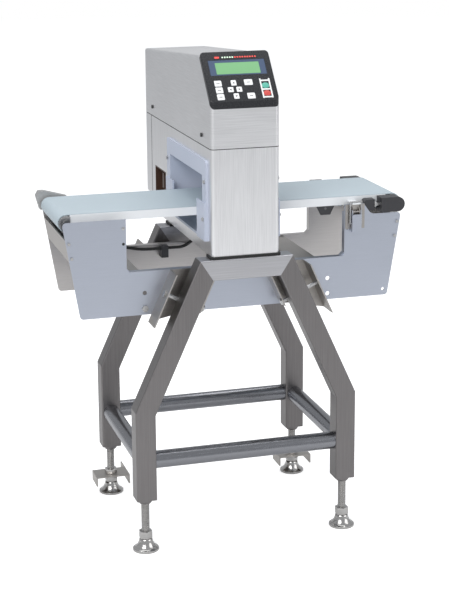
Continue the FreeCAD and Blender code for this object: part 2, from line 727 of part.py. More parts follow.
def make_plates():
    plate = side_plate()
    node(plate, "side_plate_front")
    mirrored(plate, "side_plate_rear", (0, 1, 0))

    bracket = leg_bracket()
    left = reflected(bracket, (1, 0, 0))
    group("leg_brackets", [bracket, left, reflected(bracket, (0, 1, 0)), reflected(left, (0, 1, 0))])

    outfeed_end = end_sheet()
    infeed_channel = channel("channel_infeed", -S.channel_edge_infeed - S.channel_width)
    group("cross_members", [infeed_channel, channel("channel_outfeed", S.channel_edge_outfeed),
                            outfeed_end, reflected(outfeed_end, (1, 0, 0))])

    support = rail_support()
    left = reflected(support, (1, 0, 0))
    group("rail_supports", [support, left, reflected(support, (0, 1, 0)), reflected(left, (0, 1, 0))])
    return plate


def make_fasteners():
    """Every plain bolt and screw of the stand, plates, conveyor ends and tunnel flanges."""
    front = []
    shank = S.end_screw_radius - 0.1
    for x, z in end_screws():
        for side in (-1, 1):
            front.append(pan_screw(side * x, z, S.end_screw_radius + 1.5, shank, -S.plate_outer_y,
                                   2 * S.plate_sheet))
    front.append(pan_screw(-S.fixing_x, S.fixing_low, S.fixing_radius + 3, S.fixing_radius - 0.2,
                           -S.plate_outer_y, S.plate_sheet))
    right_bolts = bracket_bolts()
    front += right_bolts + [reflected(bolt, (1, 0, 0)) for bolt in right_bolts]
    everything = front + [reflected(piece, (0, 1, 0)) for piece in front]
    for side in (-1, 1):
        y = side * (S.flange_half - 9)
        for height in (S.flange_top - 52, S.guard_top - 40):
            for end, start in ((-1, S.head_half + S.flange_sheet), (1, S.head_half + S.flange_sheet)):
                guarded = number(height) < number(S.guard_top)
                inner = start + S.guard_sheet if guarded else start
                x = inner if end > 0 else -(inner + S.head_thickness)
                everything.append(hex_bar("flange_bolt", S.flange_bolt_radius, S.head_thickness, x, y, height,
                                          axis="x"))
        everything.append(tension_bolt(side))
    group("fasteners", everything)


def tension_bolt(side):
    """Screw in the tension bracket whose shank slides into the roller carrier."""
    y = side * (S.carrier_inner + S.carrier_outer) / 2
    start = S.tension_bracket_end
    shank = cylinder("tension_shank", S.tension_bolt_radius, S.carrier_start - start + 12, start, y, drum_z,
                     axis="x")
    nut = hex_bar("tension_nut", S.tension_bolt_radius + 3, S.head_thickness, start, y, drum_z, axis="x")
    return fused("tension_bolt", [shank, nut])


# ---- conveyor

def rail():
    body = new_body("rail_front")
    outline = box_points(-S.rail_infeed_end, S.rail_outfeed_end, S.rail_bottom, S.rail_top)
    pad(body, drawn(body, "XZ_Plane", [outline], offset=rail_inner), S.rail_sheet)
    return body


def keeper():
    """Tongue on the rail that the latch's bail pulls down on; a low lip keeps the bail in place."""
    body = new_body("keeper")
    low = S.tower_top + S.keeper_clearance
    high, tip = low + S.keeper_sheet, -S.latch_pivot_y - S.bail_wire / 2 - 2
    outline = [(-S.rail_outer, low), (tip, low), (tip, high + S.keeper_lip), (tip + 1.5, high + S.keeper_lip),
               (tip + 1.5, high), (-S.rail_outer, high)]
    pad(body, drawn(body, "YZ_Plane", [outline], offset=S.latch_x), S.keeper_width, middle=True)
    return body


def slider_bed():
    """Bed under the carrying run, with turned-down edges that stiffen it."""
    body = new_body("bed")
    low, thick = bed_top - S.bed_thickness, S.bed_thickness
    pad(body, drawn(body, "XY_Plane", [box_points(-S.bed_half, S.bed_half, -rail_inner, rail_inner)], offset=low),
        thick)
    pocket(body, drawn(body, "XY_Plane", [box_points(-S.bed_half + 12, S.bed_half - 12, -rail_inner + 6,
                                                     rail_inner - 6)], offset=low), thick / 2, back=True)
    return body


def tangent_points(centre, radius, other, other_radius):
    """Ends of the line that passes under the first circle and over the second, as (x, z) pairs."""
    across = Vector(other[0] - centre[0], other[1] - centre[1], 0)
    reach = across.Length
    base = math.atan2(across.y, across.x)
    bend = math.asin((radius + other_radius) / reach)
    heading = base + bend if across.x > 0 else base - bend
    side = -1 if across.x > 0 else 1
    normal = Vector(-math.sin(heading), math.cos(heading), 0) * side
    first = (centre[0] + normal.x * radius, centre[1] + normal.y * radius)
    second = (other[0] - normal.x * other_radius, other[1] - normal.y * other_radius)
    return first, second


def belt_outline(layer):
    """Closed loop round both drums and over the return rollers, layer millimetres out from the inner side."""
    drum = number(S.drum_radius + S.belt_gap) + layer
    over = number(S.return_radius + S.belt_gap + S.belt_thickness) - layer
    right, left = (number(S.drum_x), number(drum_z)), (-number(S.drum_x), number(drum_z))
    roller_right = (number(S.return_x_outfeed), number(return_z))
    roller_left = (-number(S.return_x_infeed), number(return_z))
    leave_right, meet_right = tangent_points(right, drum, roller_right, over)
    leave_left, meet_left = tangent_points(left, drum, roller_left, over)

    def place(x, z):
        return Vector(x, 0, z)

    def line(a, b):
        return Part.LineSegment(place(*a), place(*b)).toShape()

    def arc(a, b, c):
        return Part.Arc(place(*a), place(*b), place(*c)).toShape()

    top_right, top_left = (right[0], right[1] + drum), (left[0], left[1] + drum)
    crest_right, crest_left = (roller_right[0], roller_right[1] + over), (roller_left[0], roller_left[1] + over)

    def on_circle(centre, radius, a, b):
        middle = Vector((a[0] + b[0]) / 2 - centre[0], (a[1] + b[1]) / 2 - centre[1], 0).normalize()
        return centre[0] + middle.x * radius, centre[1] + middle.y * radius

    return Part.Wire([
        line(top_left, top_right),
        arc(top_right, (right[0] + drum, right[1]), leave_right),
        line(leave_right, meet_right),
        arc(meet_right, on_circle(roller_right, over, meet_right, crest_right), crest_right),
        line(crest_right, crest_left),
        arc(crest_left, on_circle(roller_left, over, crest_left, meet_left), meet_left),
        line(meet_left, leave_left),
        arc(leave_left, (left[0] - drum, left[1]), top_left),
    ])


def belt():
    outer = Part.Face(belt_outline(number(S.belt_thickness)))
    inner = Part.Face(belt_outline(0))
    loop = outer.cut(inner)
    width = number(S.belt_width)
    loop.translate(Vector(0, -width / 2, 0))
    return solid("belt_loop", loop.extrude(Vector(0, width, 0)).Solids[0])


def roller(name, radius, face, bore=None, pin=None, pin_reach=None):
    """A drum along Y with chamfered edges: bored for an axle, or with a pin at each end."""
    body = new_body(name)
    half, chamfer = face / 2, S.drum_chamfer
    if bore is not None:
        revolve(body, [(bore, -half), (radius - chamfer, -half), (radius, -half + chamfer),
                       (radius, half - chamfer), (radius - chamfer, half), (bore, half)])
    else:
        revolve(body, [(0, -pin_reach), (pin, -pin_reach), (pin, -half), (radius - chamfer, -half),
                       (radius, -half + chamfer), (radius, half - chamfer), (radius - chamfer, half),
                       (pin, half), (pin, pin_reach), (0, pin_reach)])
    turn(body, (1, 0, 0), -90)
    return body


def drum_block(name):
    """Round-nosed block at the rail's end that carries the drive drum's axle."""
    body = new_body(name)
    bore = S.axle_radius
    pad(body, drawn(body, "XZ_Plane", circles=[(-S.drum_x, drum_z, S.drum_radius),
                                               (-S.drum_x, drum_z, bore)], offset=rail_inner), S.block_depth)
    past = box_points(-S.rail_infeed_end, -S.drum_x + S.drum_radius + 1, drum_z - S.drum_radius - 1,
                      drum_z + S.drum_radius + 1)
    pocket(body, drawn(body, "XZ_Plane", [past], offset=rail_inner - 1), S.block_depth + 2, back=True)
    return body


def drive_end_cover():
    """Cast cover over the drum motor's cable end, with a hump that stands above the belt."""
    body = new_body("end_cover")
    low, high = S.cover_bottom, S.cover_top
    outline = [(-S.cover_end + 9, low), (-S.cover_end, high - 12), (-S.cover_end + 7, high),
               (-S.cover_end + 20, high), (-S.cover_start, S.belt_top - 2), (-S.cover_start, low)]
    pad(body, drawn(body, "XZ_Plane", [outline], offset=-plate_inner_y), plate_inner_y - S.cover_inner)
    dress(body, "Fillet", Size(3, "3"), lambda edge: runs_along(edge, (0, 1, 0))
          and edge.CenterOfMass.x < -number(S.cover_start) - 1)
    socket = drawn(body, "XZ_Plane", circles=[(-S.drum_x, drum_z, S.axle_radius)], offset=-S.cover_inner)
    pocket(body, socket, Size(7, "7"), back=False)
    return body


def carrier():
    """Round-nosed block that holds one end of the idler axle and slides along the rail."""
    body = new_body("carrier_front")
    radius = S.carrier_height / 2
    width = S.carrier_outer - S.carrier_inner
    pad(body, drawn(body, "XZ_Plane", [box_points(S.carrier_start, S.drum_x, drum_z - radius, drum_z + radius)],
                    offset=S.carrier_inner), width)
    pad(body, drawn(body, "XZ_Plane", circles=[(S.drum_x, drum_z, radius)], offset=S.carrier_inner), width)
    bore = drawn(body, "XZ_Plane", circles=[(S.drum_x, drum_z, S.idler_axle_radius)],
                 offset=S.carrier_outer - 8)
    pocket(body, bore, width, back=False)
    guide = drawn(body, "YZ_Plane",
                  circles=[(-(S.carrier_inner + S.carrier_outer) / 2, drum_z, S.tension_bolt_radius + 0.3)],
                  offset=S.carrier_start)
    pocket(body, guide, 12 + S.tension_travel + 3, back=True)
    return body


def tension_bracket():
    """Black block on the rail that the tension screw pulls from, rounded underneath."""
    body = new_body("tension_bracket")
    low, high = drum_z - S.tension_bracket_height / 2, drum_z + S.tension_bracket_height / 2
    outline = box_points(S.tension_bracket_start, S.tension_bracket_end, low, high)
    pad(body, drawn(body, "XZ_Plane", [outline], offset=S.rail_outer), plate_inner_y - 1 - S.rail_outer)
    dress(body, "Fillet", Size(9, "9"), lambda edge: runs_along(edge, (0, 1, 0))
          and near(edge.CenterOfMass.x, S.tension_bracket_start))
    return body


def return_bracket(name, x):
    """Tapered lug under the rail that holds one pin of a return roller."""
    body = new_body(name)
    top, low = S.rail_bottom, S.rail_bottom - S.roller_bracket_drop
    half_top, half_low = S.roller_bracket_top / 2, S.roller_bracket_bottom / 2
    outline = [(x - half_top, top), (x - half_low, low), (x + half_low, low), (x + half_top, top)]
    pad(body, drawn(body, "XZ_Plane", [outline], offset=rail_inner), S.rail_sheet)
    bore = S.return_pin_radius + S.running_clearance
    pocket(body, drawn(body, "XZ_Plane", circles=[(x, return_z, bore)]))
    return body


def make_conveyor():
    front_rail, front_keeper = rail(), keeper()
    group("conveyor_rails", [front_rail, reflected(front_rail, (0, 1, 0)),
                             front_keeper, reflected(front_keeper, (0, 1, 0))])
    node(slider_bed(), "slider_bed")
    node(belt(), "belt")
    bore = S.axle_radius + S.running_clearance
    node(roller("drum_shell", S.drum_radius, S.drum_face, bore=bore), "drive_drum", x=-S.drum_x, z=drum_z)
    block = drum_block("drum_block")
    axle_reach = rail_inner + S.block_depth + 3
    axle = cylinder("drum_axle", S.axle_radius, 2 * axle_reach, -S.drum_x, -axle_reach, drum_z, axis="y")
    group("drum_supports", [block, reflected(block, (0, 1, 0)), axle])
    node(drive_end_cover(), "drive_end_cover")

    bore = S.idler_axle_radius + S.running_clearance
    node(roller("idler_shell", S.drum_radius, S.drum_face, bore=bore), "idler_roller", x=S.drum_x, z=drum_z)
    front = carrier()
    reach = S.carrier_outer - 8
    shaft = cylinder("idler_axle", S.idler_axle_radius, 2 * reach, S.drum_x, -reach, drum_z, axis="y")
    group("idler_carriers", [front, reflected(front, (0, 1, 0)), shaft])

    tension = tension_bracket()
    lugs = [return_bracket("lug_outfeed", S.return_x_outfeed), return_bracket("lug_infeed", -S.return_x_infeed)]
    fronts = [tension] + lugs
    group("roller_brackets", fronts + [reflected(piece, (0, 1, 0)) for piece in fronts])
    face = 2 * rail_inner - 1
    for label, x in (("return_roller_infeed", -S.return_x_infeed), ("return_roller_outfeed", S.return_x_outfeed)):
        piece = roller(label + "_shell", S.return_radius, face, pin=S.return_pin_radius, pin_reach=S.rail_outer)
        node(piece, label, x=x, z=return_z)


# ---- toggle latches

def latch_base():
    """Plate on the side plate's tower with two ears and the lever's pin."""
    body = new_body("latch_plate")
    half = S.latch_base_width / 2
    ear = S.latch_lever_width / 2 - 1.5 * S.latch_sheet - 0.3
    outline = box_points(S.latch_x - half, S.latch_x + half, S.latch_base_bottom, S.tower_top - 1)
    pad(body, drawn(body, "XZ_Plane", [outline], offset=S.plate_outer_y), S.latch_base_sheet)
    for side in (-1, 1):
        middle = S.latch_x + side * ear
        foot, tip = -S.plate_outer_y - S.latch_base_sheet, -S.latch_pivot_y - 3.6
        ear_outline = [(foot, S.latch_pivot_z - 13), (tip, S.latch_pivot_z - 3), (tip, S.latch_pivot_z + 3),
                       (foot, S.latch_pivot_z + 13)]
        pad(body, drawn(body, "YZ_Plane", [ear_outline], offset=middle), S.latch_sheet, middle=True)
    pin_half = S.latch_lever_width / 2 - 0.3
    bore = drawn(body, "YZ_Plane", circles=[(-S.latch_pivot_y, S.latch_pivot_z, S.latch_pin_radius)],
                 offset=S.latch_x)
    pocket(body, bore, 2 * pin_half + 4, middle=True)
    pin = cylinder("latch_pin", S.latch_pin_radius, 2 * pin_half, S.latch_x - pin_half, -S.latch_pivot_y,
                   S.latch_pivot_z, axis="x")
    return [body, pin]


def latch_lever():
    """Folded lever: a face plate and two cheeks, bored for its own pin and for the bail."""
    body = new_body("lever")
    half, thick = S.latch_lever_width / 2, S.latch_sheet
    outer, inner = -S.latch_pivot_y - 7, -S.latch_pivot_y + 4
    left, right = S.latch_x - half, S.latch_x + half
    neck = S.latch_pivot_z - 6
    outline = [(left, outer), (right, outer), (right, inner), (right - thick, inner),
               (right - thick, outer + thick), (left + thick, outer + thick), (left + thick, inner), (left, inner)]
    pad(body, drawn(body, "XY_Plane", [outline], offset=S.latch_lever_bottom), neck - S.latch_lever_bottom)
    cheeks = [box_points(left, left + thick, outer + 2, inner), box_points(right - thick, right, outer + 2, inner)]
    pad(body, drawn(body, "XY_Plane", cheeks, offset=neck), S.latch_pivot_z + 4 - neck)
    pin = S.latch_pin_radius + S.running_clearance
    wire = S.bail_wire / 2 + S.running_clearance
    holes = [(-S.latch_pivot_y, S.latch_pivot_z, pin), (-S.bail_y, S.latch_pivot_z - S.latch_crank, wire)]
    pocket(body, drawn(body, "YZ_Plane", circles=holes, offset=S.latch_x), S.latch_lever_width + 4, middle=True)
    return body


def latch_bail():
    """Wire loop from the lever up over the keeper."""
    x, y = number(S.latch_x), -number(S.bail_y)
    low = number(S.latch_pivot_z - S.latch_crank)
    high = number(S.bail_bar_z)
    half = number(S.bail_half)
    inside = number(S.latch_lever_width / 2 - S.latch_sheet) - 1
    points = [(x - inside, y, low), (x - half, y, low), (x - half, y, high), (x + half, y, high),
              (x + half, y, low), (x + inside, y, low)]
    return solid("bail", mitred_bar(points, number(S.bail_wire) / 2))


def make_latches():
    base = latch_base()
    group("latch_bases", base + [reflected(piece, (0, 1, 0)) for piece in base])
    lever = node(latch_lever(), "latch_lever_front")
    mirrored(lever, "latch_lever_rear", (0, 1, 0))
    bail = node(latch_bail(), "latch_bail_front")
    mirrored(bail, "latch_bail_rear", (0, 1, 0))


# ---- search head

def head_housing():
    """Welded sheet box that is open at the top, with an inward lip and cut-outs for tunnel and connector."""
    body = new_body("housing")
    pad(body, drawn(body, "XY_Plane", [box_points(-S.head_half, S.head_half, -S.head_front, S.head_rear)],
                    offset=S.head_bottom), S.seam_height - S.head_bottom)
    dress(body, "Fillet", S.head_corner, lambda edge: runs_along(edge, (0, 0, 1))
          and edge.CenterOfMass.y < 0)
    doc.recompute()
    base = body.Tip
    top = ["Face%d" % (index + 1) for index, face in enumerate(base.Shape.Faces)
           if near(face.CenterOfMass.z, S.seam_height)]
    shell = body.newObject("PartDesign::Thickness", "housing_shell")
    shell.Base = (base, top)
    bind(shell, "Value", S.head_sheet)
    shell.Reversed = True
    shell.Mode = 0
    shell.Join = 0
    wall = S.head_sheet
    outer = box_points(-S.head_half + wall, S.head_half - wall, -S.head_front + wall + S.head_corner,
                       S.head_rear - wall)
    inner = box_points(-S.head_half + S.lip_width, S.head_half - S.lip_width,
                       -S.head_front + 2 * S.lip_width, S.head_rear - S.lip_width)
    pad(body, drawn(body, "XY_Plane", [outer, inner], offset=S.seam_height), wall, back=True)
    hole = S.tunnel_half + S.liner_wall
    cutout = box_points(-hole, hole, S.tunnel_bottom - S.liner_wall, S.tunnel_top + S.liner_wall)
    pocket(body, drawn(body, "YZ_Plane", [cutout]))
    window = box_points(S.recess_front, S.recess_rear, S.recess_bottom, S.recess_top)
    pocket(body, drawn(body, "YZ_Plane", [window], offset=-S.head_half - 1), wall + 2, back=True)
    return body


def tunnel_liner():
    """White sleeve through the head with a flange on each face, and the four finger guards at the belt."""
    body = new_body("liner")
    wall, half = S.liner_wall, S.tunnel_half + S.liner_wall
    low, high = S.tunnel_bottom - wall, S.tunnel_top + wall
    pad(body, drawn(body, "YZ_Plane", [box_points(-half, half, low, high)]), 2 * S.head_half, middle=True)
    flange = box_points(-S.flange_half, S.flange_half, S.flange_bottom, S.flange_top)
    pad(body, drawn(body, "YZ_Plane", [flange], offset=S.head_half), S.flange_sheet)
    pad(body, drawn(body, "YZ_Plane", [flange], offset=-S.head_half), S.flange_sheet, back=True)
    opening = box_points(-S.tunnel_half, S.tunnel_half, S.tunnel_bottom, S.tunnel_top)
    pocket(body, drawn(body, "YZ_Plane", [opening]))
    dress(body, "Fillet", Size(8, "8"), lambda edge: runs_along(edge, (1, 0, 0))
          and near(abs(edge.CenterOfMass.y), S.flange_half) and near(edge.CenterOfMass.z, S.flange_top))
    guard = box("guard", S.guard_sheet, S.flange_half - S.guard_inner, S.guard_top - S.flange_bottom,
                S.head_half + S.flange_sheet, -S.flange_half, S.flange_bottom)
    left = reflected(guard, (1, 0, 0))
    return [body, guard, left, reflected(guard, (0, 1, 0)), reflected(left, (0, 1, 0))]


def coil(name, x):
    """A rectangular winding with rounded corners round the liner."""
    body = new_body(name)
    inner = S.tunnel_half + S.liner_wall
    low, high = S.tunnel_bottom - S.liner_wall, S.tunnel_top + S.liner_wall
    section = S.coil_section
    pad(body, drawn(body, "YZ_Plane", [box_points(-inner - section, inner + section, low - section,
                                                  high + section)], offset=x), S.coil_width, middle=True)
    dress(body, "Fillet", S.coil_corner, lambda edge: runs_along(edge, (1, 0, 0)))
    pocket(body, drawn(body, "YZ_Plane", [box_points(-inner, inner, low, high)]))
    return body


def upper_cover():
    """Folded cover from its side profile: upright front, sloped panel face and a roof that falls rearwards."""
    body = new_body("cover")
    outline = [(-S.head_front, S.seam_height), (S.head_back, S.seam_height), (S.head_back, S.roof_back_z),
               (-S.roof_front_y, S.roof_front_z), (-S.head_front, S.panel_foot_z)]
    pad(body, drawn(body, "YZ_Plane", [outline]), 2 * S.head_half, middle=True)
    dress(body, "Fillet", S.head_corner, lambda edge: runs_along(edge, (0, 0, 1)) and edge.CenterOfMass.y < 0)
    dress(body, "Fillet", S.roof_corner, lambda edge: len(edge.Vertexes) == 2
          and edge.BoundBox.YMin > -number(S.roof_front_y) - 1
          and edge.CenterOfMass.z > number(S.roof_back_z) + 1 and not runs_along(edge, (1, 0, 0)))
    doc.recompute()
    base = body.Tip
    under = ["Face%d" % (index + 1) for index, face in enumerate(base.Shape.Faces)
             if near(face.CenterOfMass.z, S.seam_height)]
    shell = body.newObject("PartDesign::Thickness", "cover_shell")
    shell.Base = (base, under)
    bind(shell, "Value", S.head_sheet)
    shell.Reversed = True
    shell.Mode = 0
    shell.Join = 0
    return body


def rear_cover():
    """Box lid over the wiring at the back of the head, open towards the head."""
    body = new_body("rear_lid")
    pad(body, drawn(body, "XY_Plane", [box_points(-S.head_half, S.head_half, S.head_rear, S.head_back)],
                    offset=S.rear_cover_bottom), S.seam_height - S.rear_cover_bottom)
    inside = box_points(-S.head_half + S.head_sheet, S.head_half - S.head_sheet, S.head_rear - 1,
                        S.head_back - S.head_sheet)
    pocket(body, drawn(body, "XY_Plane", [inside], offset=S.rear_cover_bottom + S.head_sheet),
           S.seam_height - S.rear_cover_bottom - 2 * S.head_sheet, back=True)
    return body


def signal_connector():
    """Recessed tray in the infeed side with the plug socket that the sensor lead takes."""
    body = new_body("connector_tray")
    gap = 0.3
    outline = box_points(S.recess_front + gap, S.recess_rear - gap, S.recess_bottom + gap, S.recess_top - gap)
    pad(body, drawn(body, "YZ_Plane", [outline], offset=-S.head_half), S.recess_depth)
    rim = 3
    hollow = box_points(S.recess_front + gap + rim, S.recess_rear - gap - rim,
                        S.recess_bottom + gap + rim, S.recess_top - gap - rim)
    pocket(body, drawn(body, "YZ_Plane", [hollow], offset=-S.head_half), S.recess_depth - rim, back=True)
    middle_y = (S.recess_front + S.recess_rear) / 2
    socket = box_points(middle_y - 9, middle_y + 9, S.recess_top - 52, S.recess_top - 12)
    pad(body, drawn(body, "YZ_Plane", [socket], offset=-S.head_half + S.recess_depth - rim), Size(14, "14"),
        back=True)
    return body


def electronics():
    """Tray on the housing's lip with the detector board on spacers and the power supply beside it."""
    edge = S.head_half - S.head_sheet - 0.5
    front = -S.head_front + S.lip_width
    length = S.head_rear - S.lip_width / 2 - front
    tray = box("tray", 2 * edge, length, S.head_sheet, -edge, front, S.seam_height)
    deck = S.seam_height + S.head_sheet
    board_width, board_length, spacer = 2 * edge - 24, S.tunnel_half * 1.3, 8
    pieces = [tray, box("board", board_width, board_length, Size(1.6, "1.6"), -board_width / 2, front + 40,
                        deck + spacer)]
    for x in (-board_width / 2 + 6, board_width / 2 - 6):
        for y in (front + 46, front + 34 + board_length):
            pieces.append(cylinder("board_spacer", Size(3, "3"), Size(spacer, repr(spacer)), x, y, deck))
    pieces.append(box("power_supply", Size(98, "98"), Size(160, "160"), Size(40, "40"), Size(-49, "-49"),
                      front + 60 + board_length, deck))
    return pieces


def base_gasket():
    """Rubber strips between the beams and the head."""
    body = new_body("gasket_front")
    half = S.head_half + S.gasket_overhang
    front = S.head_front + S.gasket_overhang
    back = S.leg_y - half_tube
    pad(body, drawn(body, "XY_Plane", [box_points(-half, half, -front, -back)], offset=S.beam_top),
        S.head_bottom - S.beam_top)
    dress(body, "Fillet", S.gasket_corner, lambda edge: runs_along(edge, (0, 0, 1))
          and near(edge.CenterOfMass.y, -front))
    rear = box("gasket_rear", 2 * half, S.tube_width, S.head_bottom - S.beam_top, -half, back, S.beam_top)
    return [body, rear]


def cover_screws():
    screws = []
    for side in (-1, 1):
        x = S.head_half if side > 0 else -S.head_half - S.cover_screw_height
        for y in (-S.cover_screw_front, S.cover_screw_rear):
            screws.append(cylinder("cover_screw", S.cover_screw_radius, S.cover_screw_height, x, y,
                                   S.cover_screw_z, axis="x"))
    return screws


# ---- control panel, drawn flat: x across, y up the slope, z out of the face

def on_slope(body, label, up, out):
    """Places a flat-drawn piece on the slope, up and out in millimetres from the slope's foot."""
    turn(body, (1, 0, 0), PANEL_DEGREES)
    y = -S.head_front + up * panel_cosine - out * panel_sine
    z = S.panel_foot_z + up * panel_sine + out * panel_cosine
    body.Label = label
    bind_base(body, origin_x, y + origin_y, z)
    nodes.append(body)
    return body


def key_outline(label, grow):
    x, up, width, height = KEYS[label]
    left, right = x - width / 2 - grow, x + width / 2 + grow
    low, high = up - height / 2 - grow, up + height / 2 + grow
    return box_points(left, right, face_start + low, face_start + high)


def panel_bezel():
    body = new_body("bezel")
    top = panel_length + 1
    profile = [(0, 0), (top, 0), (top, S.bezel_thickness), (face_start, S.bezel_thickness)]
    pad(body, drawn(body, "YZ_Plane", [profile]), 2 * S.head_half, middle=True)
    dress(body, "Fillet", S.bezel_corner, lambda edge: near(abs(edge.CenterOfMass.x), S.head_half)
          and (runs_along(edge, (0, 0, 1)) or (edge.BoundBox.YMax < number(face_start) + 0.01
                                               and edge.BoundBox.ZLength > 1)))
    dress(body, "Fillet", S.bezel_edge, lambda edge: near(edge.BoundBox.ZMin, S.bezel_thickness)
          and near(edge.BoundBox.ZMax, S.bezel_thickness))
    window = box_points(-S.window_half, S.window_half, face_start + S.window_low, face_start + S.window_high)
    pocket(body, drawn(body, "XY_Plane", [window], offset=S.bezel_thickness), S.window_recess)
    outlines = [key_outline(label, S.key_gap) for label in KEYS]
    pocket(body, drawn(body, "XY_Plane", outlines, offset=S.bezel_thickness), S.key_pocket)
    return body


def display_window():
    """Clear window with the display glued behind it, in the bezel's recess."""
    body = new_body("window")
    gap = 0.2
    outline = box_points(-S.window_half + gap, S.window_half - gap, face_start + S.window_low + gap,
                         face_start + S.window_high - gap)
    pad(body, drawn(body, "XY_Plane", [outline]), S.window_sheet)
    return body


def panel_key(label):
    body = new_body(label + "_cap")
    pad(body, drawn(body, "XY_Plane", [key_outline(label, 0)]), S.key_height)
    dress(body, "Fillet", S.key_corner, lambda edge: runs_along(edge, (0, 0, 1)))
    return body


def make_head():
    node(head_housing(), "head_housing")
    group("tunnel_liner", tunnel_liner())
    node(coil("transmit_winding", Size(0, "0")), "transmit_coil")
    group("receive_coils", [coil("receive_infeed", -S.coil_spacing), coil("receive_outfeed", S.coil_spacing)])
    group("electronics", electronics())
    node(upper_cover(), "upper_cover")
    node(rear_cover(), "rear_cover")
    node(signal_connector(), "signal_connector")
    group("base_gasket", base_gasket())
    group("cover_screws", cover_screws())
    on_slope(panel_bezel(), "panel_bezel", 0, Size(0, "0"))
    on_slope(display_window(), "display_window", 0, S.bezel_thickness - S.window_recess)
    # a key stands its travel clear of the bottom of its pocket
    key_floor = S.bezel_thickness - S.key_pocket + S.key_travel + 0.15
    for label in KEYS:
        on_slope(panel_key(label), label, 0, key_floor)


# ---- motor cable

def make_cable():
    radius = number(S.cable_diameter) / 2
    shape, length, radii = bent_bar(CABLE_ROUTE, radius)
    wanted = math.pi * radius ** 2 * length
    print("cable length %.0f, volume %.0f of %.0f, arc radii %s"
          % (length, shape.Volume, wanted, [round(value) for value in radii]))
    node(solid("cable_run", shape), "motor_cable")

    half = S.clip_width / 2
    high = S.cable_low_z + S.cable_diameter / 2 + 3
    block = box("clip_block", S.clip_width, plate_inner_y - S.cable_y + S.cable_diameter / 2 + 3,
                high - S.clip_low, -S.clip_x - half, S.cable_y - S.cable_diameter / 2 - 3, S.clip_low)
    bore = cylinder("clip_bore", S.cable_diameter / 2 + 0.6, S.clip_width + 2, -S.clip_x - half - 1, S.cable_y,
                    S.cable_low_z, axis="x")
    clip = cut("clip", block, bore)
    x, y, top = CABLE_ROUTE[-1]
    gland = cylinder("gland", S.gland_radius, S.gland_length, x, y, S.head_bottom - S.gland_length)
    group("cable_fittings", [clip, gland])


def check_and_export():
    doc.recompute()
    for feature in doc.Objects:
        if "Invalid" in feature.State or "Error" in feature.State:
            raise RuntimeError("%s failed: %s" % (feature.Name, feature.State))
    os.makedirs("parts", exist_ok=True)
    for feature in nodes:
        shape = feature.Shape
        if shape.isNull() or not shape.isValid() or not shape.Solids:
            raise RuntimeError("%s has no valid solid" % feature.Label)
        shape.exportStep("parts/%s.step" % feature.Label)
    print("%d nodes, %d solids" % (len(nodes), sum(len(feature.Shape.Solids) for feature in nodes)))


make_stand()
make_feet()
make_plates()
make_conveyor()
make_latches()
make_head()
make_cable()
make_fasteners()
check_and_export()
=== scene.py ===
"""Looks of a conveyor metal detector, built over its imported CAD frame.

Lengths are metres in the frame of the part: X along the belt with the infeed at -X, -Y towards the
operator, Z up from the floor. Every sub-assembly is a class whose fields are its sizes.
"""

from __future__ import annotations

import json
import logging
import math
from dataclasses import dataclass, field
from enum import Enum
from typing import Callable, Iterable, Sequence

import bmesh
import bpy
from mathutils import Matrix, Vector

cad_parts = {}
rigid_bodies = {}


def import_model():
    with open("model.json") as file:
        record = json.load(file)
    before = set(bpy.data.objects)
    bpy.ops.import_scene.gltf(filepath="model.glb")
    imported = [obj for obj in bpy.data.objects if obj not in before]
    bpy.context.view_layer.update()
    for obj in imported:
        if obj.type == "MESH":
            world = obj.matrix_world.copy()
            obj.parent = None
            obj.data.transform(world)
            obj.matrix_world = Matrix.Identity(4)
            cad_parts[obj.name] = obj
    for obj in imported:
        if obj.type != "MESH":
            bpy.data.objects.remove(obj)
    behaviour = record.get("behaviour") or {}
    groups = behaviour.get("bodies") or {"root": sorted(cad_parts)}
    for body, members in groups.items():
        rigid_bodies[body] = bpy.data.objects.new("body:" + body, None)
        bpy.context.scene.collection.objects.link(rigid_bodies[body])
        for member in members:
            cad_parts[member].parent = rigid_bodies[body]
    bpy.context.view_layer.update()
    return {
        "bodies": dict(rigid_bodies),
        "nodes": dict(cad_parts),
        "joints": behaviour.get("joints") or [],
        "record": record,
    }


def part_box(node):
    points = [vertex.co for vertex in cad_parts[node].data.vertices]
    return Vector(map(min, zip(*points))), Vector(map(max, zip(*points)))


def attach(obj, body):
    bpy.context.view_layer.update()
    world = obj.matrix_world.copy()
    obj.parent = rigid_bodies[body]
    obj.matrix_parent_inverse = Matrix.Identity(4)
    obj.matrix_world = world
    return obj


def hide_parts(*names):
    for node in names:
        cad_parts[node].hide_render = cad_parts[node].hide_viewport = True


log = logging.getLogger("metal_detector")

MACHINE = "stand_and_head"
Colour = tuple[float, float, float]

# Edges from SHARP_ANGLE up stay sharp, and a face whose normal rises less than STEEP stands upright.
# Points nearer than SAME_PLACE are one point, and a plate's round corner has CORNER_STEPS steps.
SHARP_ANGLE = math.radians(35.0)
STEEP = 0.5
SAME_PLACE = 1e-7
CORNER_STEPS = 5


class Side(Enum):
    """A side of the machine, as the sign of the Y direction that points out of it."""

    FRONT = -1
    REAR = 1


class End(Enum):
    """An end of the belt, as the sign of the X direction that leads to it."""

    INFEED = -1
    OUTFEED = 1


class Pattern(Enum):
    """A pattern that finishes share, by the name of its node group."""

    BRUSHED_GRAIN = "brushed_grain"
    FAINT_MOTTLE = "faint_mottle"


# ---- finishes


